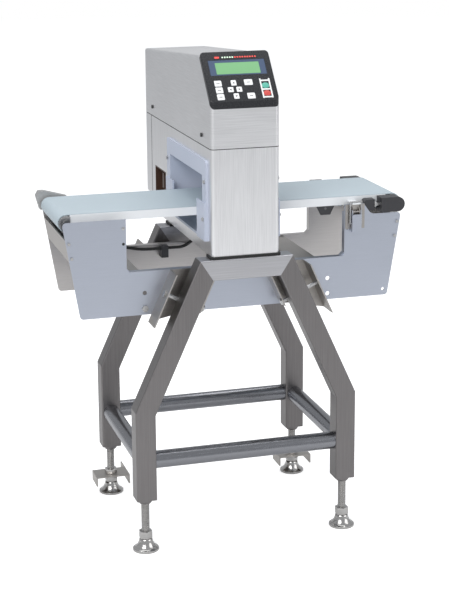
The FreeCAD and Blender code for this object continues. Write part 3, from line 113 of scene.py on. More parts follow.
def empty_group(pattern: Pattern, setting: str, kind: str) -> bpy.types.NodeTree:
    """Makes a pattern's node group, with its sockets and no nodes.

    Args:
        pattern: The pattern.
        setting: Name of the input that this pattern alone has.
        kind: Socket type of that input.

    Returns:
        The group.
    """
    group = bpy.data.node_groups.new(pattern.value, "ShaderNodeTree")
    for name, way, socket_type in (
            ("Vector", "INPUT", "NodeSocketVector"), (setting, "INPUT", kind),
            ("Dark", "INPUT", "NodeSocketColor"), ("Light", "INPUT", "NodeSocketColor"),
            ("Rough Low", "INPUT", "NodeSocketFloat"), ("Rough High", "INPUT", "NodeSocketFloat"),
            ("Color", "OUTPUT", "NodeSocketColor"), ("Roughness", "OUTPUT", "NodeSocketFloat"),
            ("Height", "OUTPUT", "NodeSocketFloat")):
        group.interface.new_socket(name=name, in_out=way, socket_type=socket_type)
    return group


def join_outputs(group: bpy.types.NodeTree, inward: bpy.types.Node, mask: bpy.types.NodeSocket,
                 grain: bpy.types.NodeSocket) -> None:
    """Joins a pattern to its group's colour, roughness and height.

    Args:
        group: The node group.
        inward: The group's input node.
        mask: Where the colour is light, from 0 to 1.
        grain: Where the surface is rough and high, from 0 to 1.
    """
    nodes, links = group.nodes, group.links
    outward = nodes.new("NodeGroupOutput")
    tint = nodes.new("ShaderNodeMix")
    tint.data_type = "RGBA"
    rough = nodes.new("ShaderNodeMapRange")
    links.new(mask, tint.inputs["Factor"])
    links.new(inward.outputs["Dark"], tint.inputs["A"])
    links.new(inward.outputs["Light"], tint.inputs["B"])
    links.new(grain, rough.inputs["Value"])
    links.new(inward.outputs["Rough Low"], rough.inputs["To Min"])
    links.new(inward.outputs["Rough High"], rough.inputs["To Max"])
    links.new(tint.outputs["Result"], outward.inputs["Color"])
    links.new(rough.outputs["Result"], outward.inputs["Roughness"])
    links.new(grain, outward.inputs["Height"])


def noise(group: bpy.types.NodeTree, vector: bpy.types.NodeSocket, scale: float,
          detail: float) -> bpy.types.Node:
    """Adds a noise texture to a node group.

    Args:
        group: The node group.
        vector: The coordinates that it reads.
        scale: Its scale.
        detail: Its detail.

    Returns:
        The texture's node.
    """
    texture = group.nodes.new("ShaderNodeTexNoise")
    texture.inputs["Scale"].default_value = scale
    texture.inputs["Detail"].default_value = detail
    group.links.new(vector, texture.inputs["Vector"])
    return texture


def brushed_grain_group(cloud_share: float = 0.35, darkest: float = 0.45,
                        lightest: float = 0.90) -> bpy.types.NodeTree:
    """Builds the brushed grain that the steels share: fine lines along one direction over slow clouds.

    Args:
        cloud_share: How much the clouds add to the lines.
        darkest: Sum of the two at which the colour is dark.
        lightest: Sum of the two at which the colour is light.

    Returns:
        A group that turns object coordinates into a colour, a roughness and a height.
    """
    group = empty_group(Pattern.BRUSHED_GRAIN, "Stretch", "NodeSocketVector")
    nodes, links = group.nodes, group.links
    inward = nodes.new("NodeGroupInput")
    stretch = nodes.new("ShaderNodeVectorMath")
    stretch.operation = "MULTIPLY"
    links.new(inward.outputs["Vector"], stretch.inputs[0])
    links.new(inward.outputs["Stretch"], stretch.inputs[1])
    lines = noise(group, stretch.outputs["Vector"], scale=1.0, detail=4.0)
    clouds = noise(group, inward.outputs["Vector"], scale=5.0, detail=2.0)
    blend = nodes.new("ShaderNodeMath")
    blend.operation = "MULTIPLY_ADD"
    blend.inputs[1].default_value = cloud_share
    links.new(clouds.outputs["Fac"], blend.inputs[0])
    links.new(lines.outputs["Fac"], blend.inputs[2])
    spread = nodes.new("ShaderNodeMapRange")
    spread.inputs["From Min"].default_value = darkest
    spread.inputs["From Max"].default_value = lightest
    links.new(blend.outputs["Value"], spread.inputs["Value"])
    join_outputs(group, inward, spread.outputs["Result"], lines.outputs["Fac"])
    return group


def mottle_group() -> bpy.types.NodeTree:
    """Builds the faint mottling that paint, plastic and rubber share.

    Returns:
        A group that turns object coordinates into a colour, a roughness and a height.
    """
    group = empty_group(Pattern.FAINT_MOTTLE, "Grain Scale", "NodeSocketFloat")
    inward = group.nodes.new("NodeGroupInput")
    clouds = noise(group, inward.outputs["Vector"], scale=9.0, detail=3.0)
    grain = noise(group, inward.outputs["Vector"], scale=1.0, detail=2.0)
    group.links.new(inward.outputs["Grain Scale"], grain.inputs["Scale"])
    join_outputs(group, inward, clouds.outputs["Fac"], grain.outputs["Fac"])
    return group


GROUP_MAKERS: dict[Pattern, Callable[[], bpy.types.NodeTree]] = {
    Pattern.BRUSHED_GRAIN: brushed_grain_group,
    Pattern.FAINT_MOTTLE: mottle_group,
}


def shared_group(pattern: Pattern) -> bpy.types.NodeTree:
    """Returns the pattern's node group, which is built the first time it is asked for."""
    return bpy.data.node_groups.get(pattern.value) or GROUP_MAKERS[pattern]()


def shade(colour: Colour, factor: float) -> tuple[float, float, float, float]:
    """Returns the colour times a factor, as a shader colour."""
    return (colour[0] * factor, colour[1] * factor, colour[2] * factor, 1.0)


@dataclass(frozen=True)
class Finish:
    """A surface finish with faint variation over the surface.

    Attributes:
        name: The material's name.
        colour: Its mean colour, linear.
        variation: Share that the colour swings either way.
        rough_low: Roughness of its smoothest spots.
        rough_high: Roughness of its roughest spots.
        metallic: 1 for bare metal.
        grain_scale: Grains to the metre.
        bump: Depth of the grain in metres.
    """

    name: str
    colour: Colour
    variation: float = 0.05
    rough_low: float = 0.4
    rough_high: float = 0.55
    metallic: float = 0.0
    grain_scale: float = 400.0
    bump: float = 0.0

    def pattern(self, nodes: bpy.types.Nodes) -> bpy.types.Node:
        """Adds the node group that varies this finish.

        Args:
            nodes: The material's nodes.

        Returns:
            The group node, with its own values set.
        """
        group = nodes.new("ShaderNodeGroup")
        group.node_tree = shared_group(Pattern.FAINT_MOTTLE)
        group.inputs["Grain Scale"].default_value = self.grain_scale
        return group

    def material(self) -> bpy.types.Material:
        """Builds this finish's material the first time it is asked for.

        Returns:
            The material.
        """
        found = bpy.data.materials.get(self.name)
        if found:
            return found
        made = bpy.data.materials.new(self.name)
        made.use_nodes = True
        nodes, links = made.node_tree.nodes, made.node_tree.links
        shader = nodes["Principled BSDF"]
        place = nodes.new("ShaderNodeTexCoord")
        group = self.pattern(nodes)
        group.inputs["Dark"].default_value = shade(self.colour, 1 - self.variation)
        group.inputs["Light"].default_value = shade(self.colour, 1 + self.variation)
        group.inputs["Rough Low"].default_value = self.rough_low
        group.inputs["Rough High"].default_value = self.rough_high
        links.new(place.outputs["Object"], group.inputs["Vector"])
        links.new(group.outputs["Color"], shader.inputs["Base Color"])
        links.new(group.outputs["Roughness"], shader.inputs["Roughness"])
        shader.inputs["Metallic"].default_value = self.metallic
        if self.bump:
            bump = nodes.new("ShaderNodeBump")
            bump.inputs["Strength"].default_value = 1.0
            bump.inputs["Distance"].default_value = self.bump
            links.new(group.outputs["Height"], bump.inputs["Height"])
            links.new(bump.outputs["Normal"], shader.inputs["Normal"])
        self.adjust(made)
        made.diffuse_color = shade(self.colour, 1.0)
        return made

    def adjust(self, made: bpy.types.Material) -> None:
        """Lets a kind of finish change the finished material."""


@dataclass(frozen=True)
class BrushedSteel(Finish):
    """Steel or aluminium with fine lines along one direction.

    Attributes:
        metallic: 1, because it is bare metal.
        stretch: Lines to the metre along each axis; the small one is the brushing's direction.
    """

    metallic: float = 1.0
    stretch: tuple[float, float, float] = (12.0, 900.0, 900.0)

    def pattern(self, nodes: bpy.types.Nodes) -> bpy.types.Node:
        """Adds the brushed grain, stretched along this steel's brushing.

        Args:
            nodes: The material's nodes.

        Returns:
            The group node, with its own values set.
        """
        group = nodes.new("ShaderNodeGroup")
        group.node_tree = shared_group(Pattern.BRUSHED_GRAIN)
        group.inputs["Stretch"].default_value = self.stretch
        return group


@dataclass(frozen=True)
class Lamp(Finish):
    """A plastic that also glows a little, such as a lit display or lamp.

    Attributes:
        glow: Strength of its own light.
    """

    glow: float = 0.4

    def adjust(self, made: bpy.types.Material) -> None:
        """Adds the glow in the lamp's own colour.

        Args:
            made: The lamp's material.
        """
        shader = made.node_tree.nodes["Principled BSDF"]
        shader.inputs["Emission Color"].default_value = shade(self.colour, 1.0)
        shader.inputs["Emission Strength"].default_value = self.glow


TUBE_STEEL = BrushedSteel("ground tube steel", (0.205, 0.195, 0.195), 0.12, 0.30, 0.46,
                          stretch=(700, 700, 8))
# The beams are the legs' tube steel painted lighter, as painted light for the light on their tops, and
# brushed along X.
BEAM_STEEL_PAINTED_LIGHTER = BrushedSteel("ground beam steel painted lighter", (0.48, 0.48, 0.50), 0.10, 0.32, 0.46,
                               stretch=(8, 700, 700))
STRETCHER_STEEL = BrushedSteel("polished stretcher", (0.26, 0.265, 0.285), 0.04, 0.22, 0.30,
                               stretch=(40, 40, 700))
PLATE_STEEL = BrushedSteel("side plate steel", (0.46, 0.49, 0.56), 0.03, 0.34, 0.42,
                           stretch=(14, 500, 900))
INNER_STEEL = BrushedSteel("plain sheet steel", (0.42, 0.40, 0.38), 0.10, 0.32, 0.46,
                           stretch=(14, 700, 700))
REAR_PLATE_STEEL = BrushedSteel("rear plate steel", (0.55, 0.53, 0.52), 0.06, 0.32, 0.46,
                                stretch=(14, 700, 700))
HEAD_STEEL = BrushedSteel("head steel", (0.82, 0.82, 0.83), 0.07, 0.24, 0.38, stretch=(700, 700, 14))
COVER_STEEL = BrushedSteel("cover steel", (0.78, 0.78, 0.79), 0.08, 0.26, 0.40, stretch=(14, 14, 900))
BOLT_STEEL = BrushedSteel("bolt steel", (0.48, 0.48, 0.48), 0.08, 0.22, 0.34, stretch=(300, 300, 300))
FOOT_STEEL = BrushedSteel("turned foot steel", (0.50, 0.49, 0.48), 0.10, 0.12, 0.24,
                          stretch=(60, 60, 900))
DRUM_STEEL = BrushedSteel("turned drum steel", (0.42, 0.42, 0.42), 0.08, 0.25, 0.38,
                          stretch=(600, 20, 600))
RAIL_PALE = Finish("pale rail", (0.72, 0.74, 0.76), 0.03, 0.35, 0.5)
BELT_WHITE = Finish("white belt", (0.42, 0.495, 0.54), 0.03, 0.38, 0.52, grain_scale=900, bump=0.00002)
DRIVE_GREY = Finish("drive cover grey", (0.42, 0.42, 0.42), 0.05, 0.35, 0.5, metallic=0.6)
MOULDED_BLACK = Finish("moulded black", (0.028, 0.028, 0.032), 0.15, 0.35, 0.5,
                       grain_scale=1200, bump=0.00003)
ROLLER_GREY = Finish("roller plastic", (0.10, 0.10, 0.105), 0.1, 0.4, 0.5)
LINER_WHITE = Finish("white liner", (0.46, 0.50, 0.60), 0.02, 0.35, 0.45)
COPPER = BrushedSteel("varnished copper", (0.55, 0.26, 0.12), 0.2, 0.3, 0.45, stretch=(900, 30, 30))
BOARD_GREEN = Finish("circuit board", (0.02, 0.10, 0.04), 0.2, 0.3, 0.4)
CONNECTOR_BROWN = Finish("connector brown", (0.06, 0.03, 0.02), 0.2, 0.35, 0.5)
# Black rubber for the gasket and the cable, and also the painted shade in the head's seams.
GASKET_AND_SEAM_SHADE_BLACK = Finish("gasket rubber and seam shade", (0.012, 0.012, 0.012), 0.2, 0.55, 0.7)
# Black for the blackened screws, and also the painted shade of the side plates' holes.
BLACKENED_AND_HOLE_SHADE = Finish("blackened screw and hole shade", (0.015, 0.015, 0.016), 0.15, 0.3, 0.45)
BEZEL_BLACK = Finish("bezel black", (0.014, 0.015, 0.018), 0.1, 0.22, 0.32)
KEY_WHITE = Finish("white key", (0.78, 0.79, 0.80), 0.03, 0.35, 0.45)
KEY_MARK = Finish("key marking", (0.05, 0.05, 0.055), 0.05, 0.4, 0.5)
KEY_GREEN = Finish("green key", (0.10, 0.42, 0.33), 0.05, 0.35, 0.45)
KEY_RED = Finish("red key", (0.55, 0.07, 0.06), 0.05, 0.35, 0.45)
STRIP_WHITE = Finish("white strip", (0.76, 0.77, 0.77), 0.02, 0.4, 0.5)
WINDOW_BLUE = Finish("window border", (0.07, 0.10, 0.17), 0.05, 0.08, 0.14)
DISPLAY_GREEN = Lamp("lit display", (0.16, 0.36, 0.17), 0.06, 0.2, 0.3, glow=0.25)
LAMP_RED = Lamp("red lamp", (0.75, 0.07, 0.06), 0.05, 0.25, 0.35, glow=0.3)
LAMP_PALE = Lamp("pale lamp", (0.62, 0.80, 0.62), 0.05, 0.25, 0.35, glow=0.3)

NODE_FINISHES: dict[str, Finish] = {
    "front_beam": BEAM_STEEL_PAINTED_LIGHTER, "rear_beam": BEAM_STEEL_PAINTED_LIGHTER,
    "leg_front_left": TUBE_STEEL, "leg_front_right": TUBE_STEEL,
    "leg_rear_left": TUBE_STEEL, "leg_rear_right": TUBE_STEEL,
    "stretcher_tubes": STRETCHER_STEEL,
    "foot_front_left": FOOT_STEEL, "foot_front_right": FOOT_STEEL,
    "foot_rear_left": FOOT_STEEL, "foot_rear_right": FOOT_STEEL,
    "anchor_bracket_left": INNER_STEEL, "anchor_bracket_right": INNER_STEEL,
    "side_plate_front": PLATE_STEEL, "side_plate_rear": REAR_PLATE_STEEL,
    "leg_brackets": INNER_STEEL, "cross_members": INNER_STEEL, "rail_supports": INNER_STEEL,
    "fasteners": BOLT_STEEL, "conveyor_rails": RAIL_PALE, "slider_bed": INNER_STEEL, "belt": BELT_WHITE,
    "drive_drum": DRUM_STEEL, "drum_supports": DRUM_STEEL, "drive_end_cover": DRIVE_GREY,
    "idler_roller": DRUM_STEEL, "idler_carriers": MOULDED_BLACK, "roller_brackets": MOULDED_BLACK,
    "return_roller_infeed": ROLLER_GREY, "return_roller_outfeed": ROLLER_GREY,
    "latch_bases": INNER_STEEL, "latch_lever_front": PLATE_STEEL, "latch_lever_rear": PLATE_STEEL,
    "latch_bail_front": BOLT_STEEL, "latch_bail_rear": BOLT_STEEL,
    "head_housing": HEAD_STEEL, "tunnel_liner": LINER_WHITE, "transmit_coil": COPPER, "receive_coils": COPPER,
    "electronics": BOARD_GREEN, "upper_cover": COVER_STEEL, "rear_cover": HEAD_STEEL,
    "signal_connector": CONNECTOR_BROWN, "base_gasket": GASKET_AND_SEAM_SHADE_BLACK, "cover_screws": BLACKENED_AND_HOLE_SHADE,
    "panel_bezel": BEZEL_BLACK, "display_window": WINDOW_BLUE,
    "key_menu_top": KEY_WHITE, "key_menu_middle": KEY_WHITE, "key_menu_bottom": KEY_WHITE,
    "key_up": KEY_WHITE, "key_left": KEY_WHITE, "key_right": KEY_WHITE, "key_down": KEY_WHITE,
    "key_select": KEY_WHITE, "key_enter": KEY_WHITE, "key_start": KEY_GREEN, "key_stop": KEY_RED,
    "motor_cable": GASKET_AND_SEAM_SHADE_BLACK, "cable_fittings": MOULDED_BLACK,
}


# ---- mesh tools


def smooth_by_angle(mesh: bmesh.types.BMesh) -> None:
    """Shades a mesh smooth, and keeps its edges from the sharp angle up sharp.

    Args:
        mesh: The mesh.
    """
    for face in mesh.faces:
        face.smooth = True
    for edge in mesh.edges:
        edge.smooth = len(edge.link_faces) == 2 and edge.calc_face_angle(0.0) < SHARP_ANGLE


def bevel_edges(mesh: bmesh.types.BMesh, edges: Iterable[bmesh.types.BMEdge], width: float,
                segments: int = 2) -> None:
    """Rounds the given edges of a mesh.

    Args:
        mesh: The mesh.
        edges: Its edges to round.
        width: Width of the round.
        segments: Steps across it.
    """
    bmesh.ops.bevel(mesh, geom=list(edges), offset=width, segments=segments, profile=0.5, material=-1,
                    affect="EDGES", clamp_overlap=True)


def block_mesh(low: Sequence[float], high: Sequence[float]) -> bmesh.types.BMesh:
    """Builds a box between two corners.

    Args:
        low: Lowest corner.
        high: Highest corner.

    Returns:
        The box as a new mesh.
    """
    mesh = bmesh.new()
    bmesh.ops.create_cube(mesh, size=1.0)
    bmesh.ops.scale(mesh, vec=[b - a for a, b in zip(low, high)], verts=mesh.verts)
    bmesh.ops.translate(mesh, vec=[(a + b) / 2 for a, b in zip(low, high)], verts=mesh.verts)
    return mesh


def plate_mesh(width: float, height: float, thickness: float, corner: float, edge: float = 0.0,
               ) -> bmesh.types.BMesh:
    """Builds a flat plate with rounded corners: X wide, Y high and up from Z = 0.

    Args:
        width: Size along X.
        height: Size along Y.
        thickness: Size along Z.
        corner: Radius of the four corners.
        edge: Round along the top edge.

    Returns:
        The plate as a new mesh.
    """
    mesh = block_mesh((-width / 2, -height / 2, 0.0), (width / 2, height / 2, thickness))
    upright = [e for e in mesh.edges if abs(e.verts[0].co.z - e.verts[1].co.z) > thickness / 2]
    bevel_edges(mesh, upright, corner, CORNER_STEPS)
    if edge:
        rim = [e for e in mesh.edges if all(v.co.z > thickness - SAME_PLACE for v in e.verts)
               and any(abs(f.normal.z) < STEEP for f in e.link_faces)]
        bevel_edges(mesh, rim, edge)
    return mesh


def lathe_mesh(profile: Sequence[tuple[float, float]], steps: int) -> bmesh.types.BMesh:
    """Turns a profile about the Z axis.

    Args:
        profile: (radius, height) points from one end of the axis to the other.
        steps: Steps of the full turn.

    Returns:
        The closed turned shape as a new mesh.
    """
    mesh = bmesh.new()
    points = [mesh.verts.new((radius, 0.0, height)) for radius, height in profile]
    edges = [mesh.edges.new(pair) for pair in zip(points, points[1:])]
    bmesh.ops.spin(mesh, geom=points + edges, cent=(0, 0, 0), axis=(0, 0, 1), angle=math.tau, steps=steps,
                   use_merge=True)
    bmesh.ops.remove_doubles(mesh, verts=mesh.verts, dist=SAME_PLACE)
    bmesh.ops.recalc_face_normals(mesh, faces=mesh.faces)
    return mesh


def hexagon_mesh(flats: float, low: float, high: float, chamfer: float) -> bmesh.types.BMesh:
    """Builds an upright hexagon with softened edges.

    Args:
        flats: Width over its flats.
        low: Height of its underside.
        high: Height of its top.
        chamfer: Width of the softened edges.

    Returns:
        The hexagon as a new mesh.
    """
    mesh = bmesh.new()
    radius = flats / math.sqrt(3)
    bmesh.ops.create_cone(mesh, cap_ends=True, segments=6, radius1=radius, radius2=radius, depth=high - low)
    bmesh.ops.translate(mesh, vec=(0, 0, (low + high) / 2), verts=mesh.verts)
    bevel_edges(mesh, mesh.edges, chamfer)
    return mesh


def placed(mesh: bmesh.types.BMesh, matrix: Matrix) -> bmesh.types.BMesh:
    """Moves a mesh by a matrix and gives it back."""
    bmesh.ops.transform(mesh, matrix=matrix, verts=mesh.verts)
    return mesh


def merged(meshes: Iterable[bmesh.types.BMesh]) -> bmesh.types.BMesh:
    """Gathers several meshes into one.

    Args:
        meshes: The meshes, which are freed.

    Returns:
        All of them as one new mesh.
    """
    whole = bmesh.new()
    for mesh in meshes:
        part = bpy.data.meshes.new("part")
        mesh.to_mesh(part)
        mesh.free()
        whole.from_mesh(part)
        bpy.data.meshes.remove(part)
    return whole


def seat(name: str, mesh: bmesh.types.BMesh, finish: Finish, body: str = MACHINE,
         replaces: Sequence[str] = ()) -> None:
    """Makes a finished mesh a piece of the machine.

    Args:
        name: The piece's name.
        mesh: The mesh, already in its place; it is freed.
        finish: What its surface is.
        body: The body that it rides on.
        replaces: The CAD nodes that it stands for.
    """
    smooth_by_angle(mesh)
    data = bpy.data.meshes.new(name)
    mesh.to_mesh(data)
    mesh.free()
    data.materials.append(finish.material())
    piece = bpy.data.objects.new(name, data)
    bpy.context.scene.collection.objects.link(piece)
    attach(piece, body)
    if replaces:
        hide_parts(*replaces)
    log.info("%s: %d faces", name, len(data.polygons))


def node_middle(node: str) -> Vector:
    """Returns the middle of a CAD node's box."""
    low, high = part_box(node)
    return (low + high) / 2


# ---- sub-assemblies


@dataclass
class LevellingFoot:
    """One levelling foot: a cone pad, a threaded spindle and its nuts.

    Attributes:
        node: The CAD node, which is also the foot's body without its prefix.
        has_lock_nut: Whether a second nut clamps an anchor bracket.
        rim_radius: Radius of the pad's rim.
        rim_height: Height of the rim.
        rim_chamfer: Width of the chamfers on the rim.
        cone: Radius and height along the pad's hollow side, from above the rim to the neck's top.
        pad_steps: Steps of the pad's full turn.
        hub_flats: Width of the hexagon over its flats.
        hub_low: Height of the hexagon's underside.
        hub_top: Height of its top.
        hex_chamfer: Width of the softened edges on the hexagon and the nut.
        nut_low: The lock nut's underside, above the hexagon's top.
        nut_top: The lock nut's top, above the hexagon's top.
        thread_radius: Radius of the spindle over its thread.
        thread_depth: The thread's depth.
        thread_steps: Steps of the spindle's full turn.
        pitch: The thread's pitch.
        ridge: Where a ridge's foot, crest, crest's end and other foot come, as shares of the pitch.
        sunk: How far the spindle's end is sunk in the hexagon.
    """

    node: str
    has_lock_nut: bool
    rim_radius: float = 0.032
    rim_height: float = 0.006
    rim_chamfer: float = 0.0008
    cone: Sequence[tuple[float, float]] = (
        (0.0285, 0.0068), (0.0250, 0.0098), (0.0210, 0.0150), (0.0182, 0.0205), (0.0168, 0.0255),
        (0.0160, 0.0290), (0.0150, 0.0300), (0.0120, 0.0300))
    pad_steps: int = 48
    hub_flats: float = 0.030
    hub_low: float = 0.031
    hub_top: float = 0.050
    hex_chamfer: float = 0.0012
    nut_low: float = 0.0031
    nut_top: float = 0.016
    thread_radius: float = 0.010
    thread_depth: float = 0.0011
    thread_steps: int = 28
    pitch: float = 0.0025
    ridge: tuple[float, float, float, float] = (0.1, 0.45, 0.55, 0.9)
    sunk: float = 0.001

    @property
    def body(self) -> str:
        """Returns the body that the foot rides on."""
        return "levelling_" + self.node

    def pad(self) -> bmesh.types.BMesh:
        """Builds the pad: a rim, a hollow-sided cone and a neck.

        Returns:
            The pad, standing on Z = 0.
        """
        inner = self.rim_radius - self.rim_chamfer
        rim = [(0.0, 0.0), (inner, 0.0), (self.rim_radius, self.rim_chamfer),
               (self.rim_radius, self.rim_height - self.rim_chamfer), (inner, self.rim_height)]
        return lathe_mesh([*rim, *self.cone, (0.0, self.cone[-1][1])], self.pad_steps)

    def thread(self, low: float, high: float) -> bmesh.types.BMesh:
        """Builds the spindle, with its thread as ridges.

        Args:
            low: Height of its lower end.
            high: Height of its upper end.

        Returns:
            The spindle.
        """
        root = self.thread_radius - self.thread_depth
        radii = (root, self.thread_radius, self.thread_radius, root)
        profile = [(0.0, low), (root, low)]
        for turn in range(int((high - low) / self.pitch)):
            foot = low + turn * self.pitch
            profile += [(radius, foot + self.pitch * share) for radius, share in zip(radii, self.ridge)]
        profile += [(root, high), (0.0, high)]
        return lathe_mesh(profile, self.thread_steps)

    def build(self) -> None:
        """Builds the foot in the place of its CAD node."""
        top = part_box(self.node)[1].z
        meshes = [self.pad(), hexagon_mesh(self.hub_flats, self.hub_low, self.hub_top, self.hex_chamfer),
                  self.thread(self.hub_top - self.sunk, top)]
        if self.has_lock_nut:
            meshes.append(hexagon_mesh(self.hub_flats, self.hub_top + self.nut_low,
                                       self.hub_top + self.nut_top, self.hex_chamfer))
        middle = node_middle(self.node)
        place = Matrix.Translation((middle.x, middle.y, 0.0))
        seat(self.node + "_turned", placed(merged(meshes), place), FOOT_STEEL, self.body,
             [self.node])


@dataclass
class Slope:
    """The control panel's face, with its own way across, up and out.

    Attributes:
        origin: Middle of the face's lower edge.
        up: Direction up the face.
        out: Direction out of the face.
    """

    origin: Vector
    up: Vector
    out: Vector

    @classmethod
    def of_frame(cls, frame: dict, thickness: float) -> Slope:
        """Reads the slope from a key's joint and the bezel's box.

        Args:
            thickness: The bezel's thickness.

        Returns:
            The slope.
        """
        press = next(j for j in frame["joints"] if j["name"] == "key_up_press")
        out = -Vector(press["axis"])
        up = Vector((0.0, out.z, -out.y))
        low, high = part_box("panel_bezel")
        return cls(Vector(((low.x + high.x) / 2, low.y, low.z + thickness / up.y)), up, out)

    def at(self, across: float, along: float, out: float = 0.0) -> Matrix:
        """Lays a flat piece on the face.

        Args:
            across: Place across the face, from its middle.
            along: Place up the face, from its lower edge.
            out: Height above the face.

        Returns:
            The matrix that takes the piece there.
        """
        matrix = Matrix((Vector((1, 0, 0)), self.up, self.out)).transposed().to_4x4()
        matrix.translation = self.origin + Vector((across, 0, 0)) + self.up * along + self.out * out
        return matrix


# A key's symbols, as corners about the middle of its cap. The arrow points up the face.
ARROW = ((-0.0028, -0.0016), (0.0028, -0.0016), (0.0, 0.0026))
BAR = ((-0.004, -0.0007), (0.004, -0.0007), (0.004, 0.0007), (-0.004, 0.0007))


class Turn(Enum):
    """The way that an arrow key points, in quarter turns to the left from up the face."""

    key_up = 0
    key_left = 1
    key_down = 2
    key_right = 3


@dataclass
class KeyCap:
    """One membrane key.

    Attributes:
        node: The CAD node.
        across: Its middle across the face.
        along: Its middle up the face.
        width: Its width.
        height: Its height.
        finish: What its cap is.
        slot: The record's material slot; not used.
        corner: Radius of its corners.
        edge: Round along its top edge.
        thickness: The cap's thickness.
        sunk: How far the cap starts below the face.
        mark_out: How far above the face its symbol starts.
        mark_thickness: The symbol's thickness.
    """

    node: str
    across: float
    along: float
    width: float
    height: float
    finish: Finish = KEY_WHITE
    slot: str = "key_grey"
    corner: float = 0.002
    edge: float = 0.0004
    thickness: float = 0.0031
    sunk: float = 0.00285
    mark_out: float = 0.0002
    mark_thickness: float = 0.0002

    def build(self, slope: Slope) -> None:
        """Builds the cap and the symbol that a white key has.

        Args:
            slope: The panel's face.
        """
        cap = plate_mesh(self.width, self.height, self.thickness, self.corner, self.edge)
        seat(self.node + "_cap", placed(cap, slope.at(self.across, self.along, -self.sunk)), self.finish,
             self.node + "_body", [self.node])
        if self.node in Turn.__members__:
            turn = Matrix.Rotation(Turn[self.node].value * math.pi / 2, 2)
            self.mark(slope, [tuple(turn @ Vector(point)) for point in ARROW])
        elif self.finish is KEY_WHITE:
            self.mark(slope, BAR)

    def mark(self, slope: Slope, outline: Sequence[tuple[float, float]]) -> None:
        """Lays a small generic symbol on the cap.

        Args:
            slope: The panel's face.
            outline: Corners of the symbol about the cap's middle.
        """
        mesh = bmesh.new()
        face = mesh.faces.new([mesh.verts.new((x, y, 0.0)) for x, y in outline])
        raised = bmesh.ops.extrude_face_region(mesh, geom=[face])
        verts = [v for v in raised["geom"] if isinstance(v, bmesh.types.BMVert)]
        bmesh.ops.translate(mesh, vec=(0, 0, self.mark_thickness), verts=verts)
        bmesh.ops.recalc_face_normals(mesh, faces=mesh.faces)
        seat(self.node + "_mark", placed(mesh, slope.at(self.across, self.along, self.mark_out)), KEY_MARK,
             self.node + "_body")


@dataclass
class Decal:
    """A thin coloured field on the panel's face.

    Attributes:
        name: The piece's name.
        across: Its middle across the face.
        along: Its middle up the face.
        width: Its width.
        height: Its height.
        finish: What its surface is.
        out: How far out of the face it starts.
        corner: Radius of its corners.
        thickness: Its thickness.
    """

    name: str
    across: float
    along: float
    width: float
    height: float
    finish: Finish
    out: float = 0.0
    corner: float = 0.001
    thickness: float = 0.0003

    def build(self, slope: Slope) -> None:
        """Lays the field on the face."""
        mesh = plate_mesh(self.width, self.height, self.thickness, self.corner)
        seat(self.name, placed(mesh, slope.at(self.across, self.along, self.out)), self.finish)


@dataclass
class LampBar:
    """The row of lamps along the panel's top: a dark bar, a long red lamp and small lamps.

    Attributes:
        along: The row's middle up the face.
        bar: Width and height of the dark bar.
        bar_out: How far out of the face the bar starts.
        lamp_out: How far out of the face the lamps start.
        pill_across: Middle of the long lamp across the face.
        pill: Width and height of the long lamp.
        pill_corner: Radius of the long lamp's corners.
        first_across: Middle of the first small lamp across the face.
        spacing: Distance between small lamps.
        small: Width and height of a small lamp.
        small_corner: Radius of a small lamp's corners.
        count: How many small lamps there are.
        pale_count: How many of them, from the left, are pale.
    """

    along: float = 0.1245
    bar: tuple[float, float] = (0.110, 0.0075)
    bar_out: float = 0.0001
    lamp_out: float = 0.0003
    pill_across: float = -0.046
    pill: tuple[float, float] = (0.012, 0.0052)
    pill_corner: float = 0.0024
    first_across: float = -0.032
    spacing: float = 0.0062
    small: tuple[float, float] = (0.0042, 0.0042)
    small_corner: float = 0.0018
    count: int = 14
    pale_count: int = 5

    def decals(self) -> list[Decal]:
        """Lists the bar and its lamps.

        Returns:
            The bar, the long lamp and the small lamps from left to right.
        """
        row = [Decal("panel_lamp_bar", 0.0, self.along, *self.bar, BEZEL_BLACK, self.bar_out),
               Decal("panel_lamp_pill", self.pill_across, self.along, *self.pill, LAMP_RED, self.lamp_out,
                     self.pill_corner)]
        for index in range(self.count):
            finish = LAMP_PALE if index < self.pale_count else LAMP_RED
            row.append(Decal(f"panel_lamp_{index:02d}", self.first_across + index * self.spacing, self.along,
                             *self.small, finish, self.lamp_out, self.small_corner))
        return row


@dataclass
class KeyStrips:
    """The white strips round the start and stop keys.

    Attributes:
        across: Middle of the crosswise strips across the face.
        crosswise: Width and height of a crosswise strip.
        heights: Place up the face of each crosswise strip.
        along: Middle of the upright strips up the face.
        upright: Width and height of an upright strip.
        sides: Place across the face of each upright strip.
        corner: Radius of a strip's corners.
    """

    across: float = 0.0583
    crosswise: tuple[float, float] = (0.0184, 0.0040)
    heights: dict[str, float] = field(default_factory=lambda: {
        "bottom": 0.0095, "middle": 0.0312, "top": 0.0556})
    along: float = 0.0340
    upright: tuple[float, float] = (0.0036, 0.0545)
    sides: dict[str, float] = field(default_factory=lambda: {"left": 0.0474, "right": 0.0694})
    corner: float = 0.0004

    def decals(self) -> list[Decal]:
        """Lists the strips.

        Returns:
            The upright strips, then the crosswise ones.
        """
        places = [(name, across, self.along, *self.upright) for name, across in self.sides.items()]
        places += [(name, self.across, along, *self.crosswise) for name, along in self.heights.items()]
        return [Decal(f"key_strip_{name}", *place, STRIP_WHITE, corner=self.corner)
                for name, *place in places]


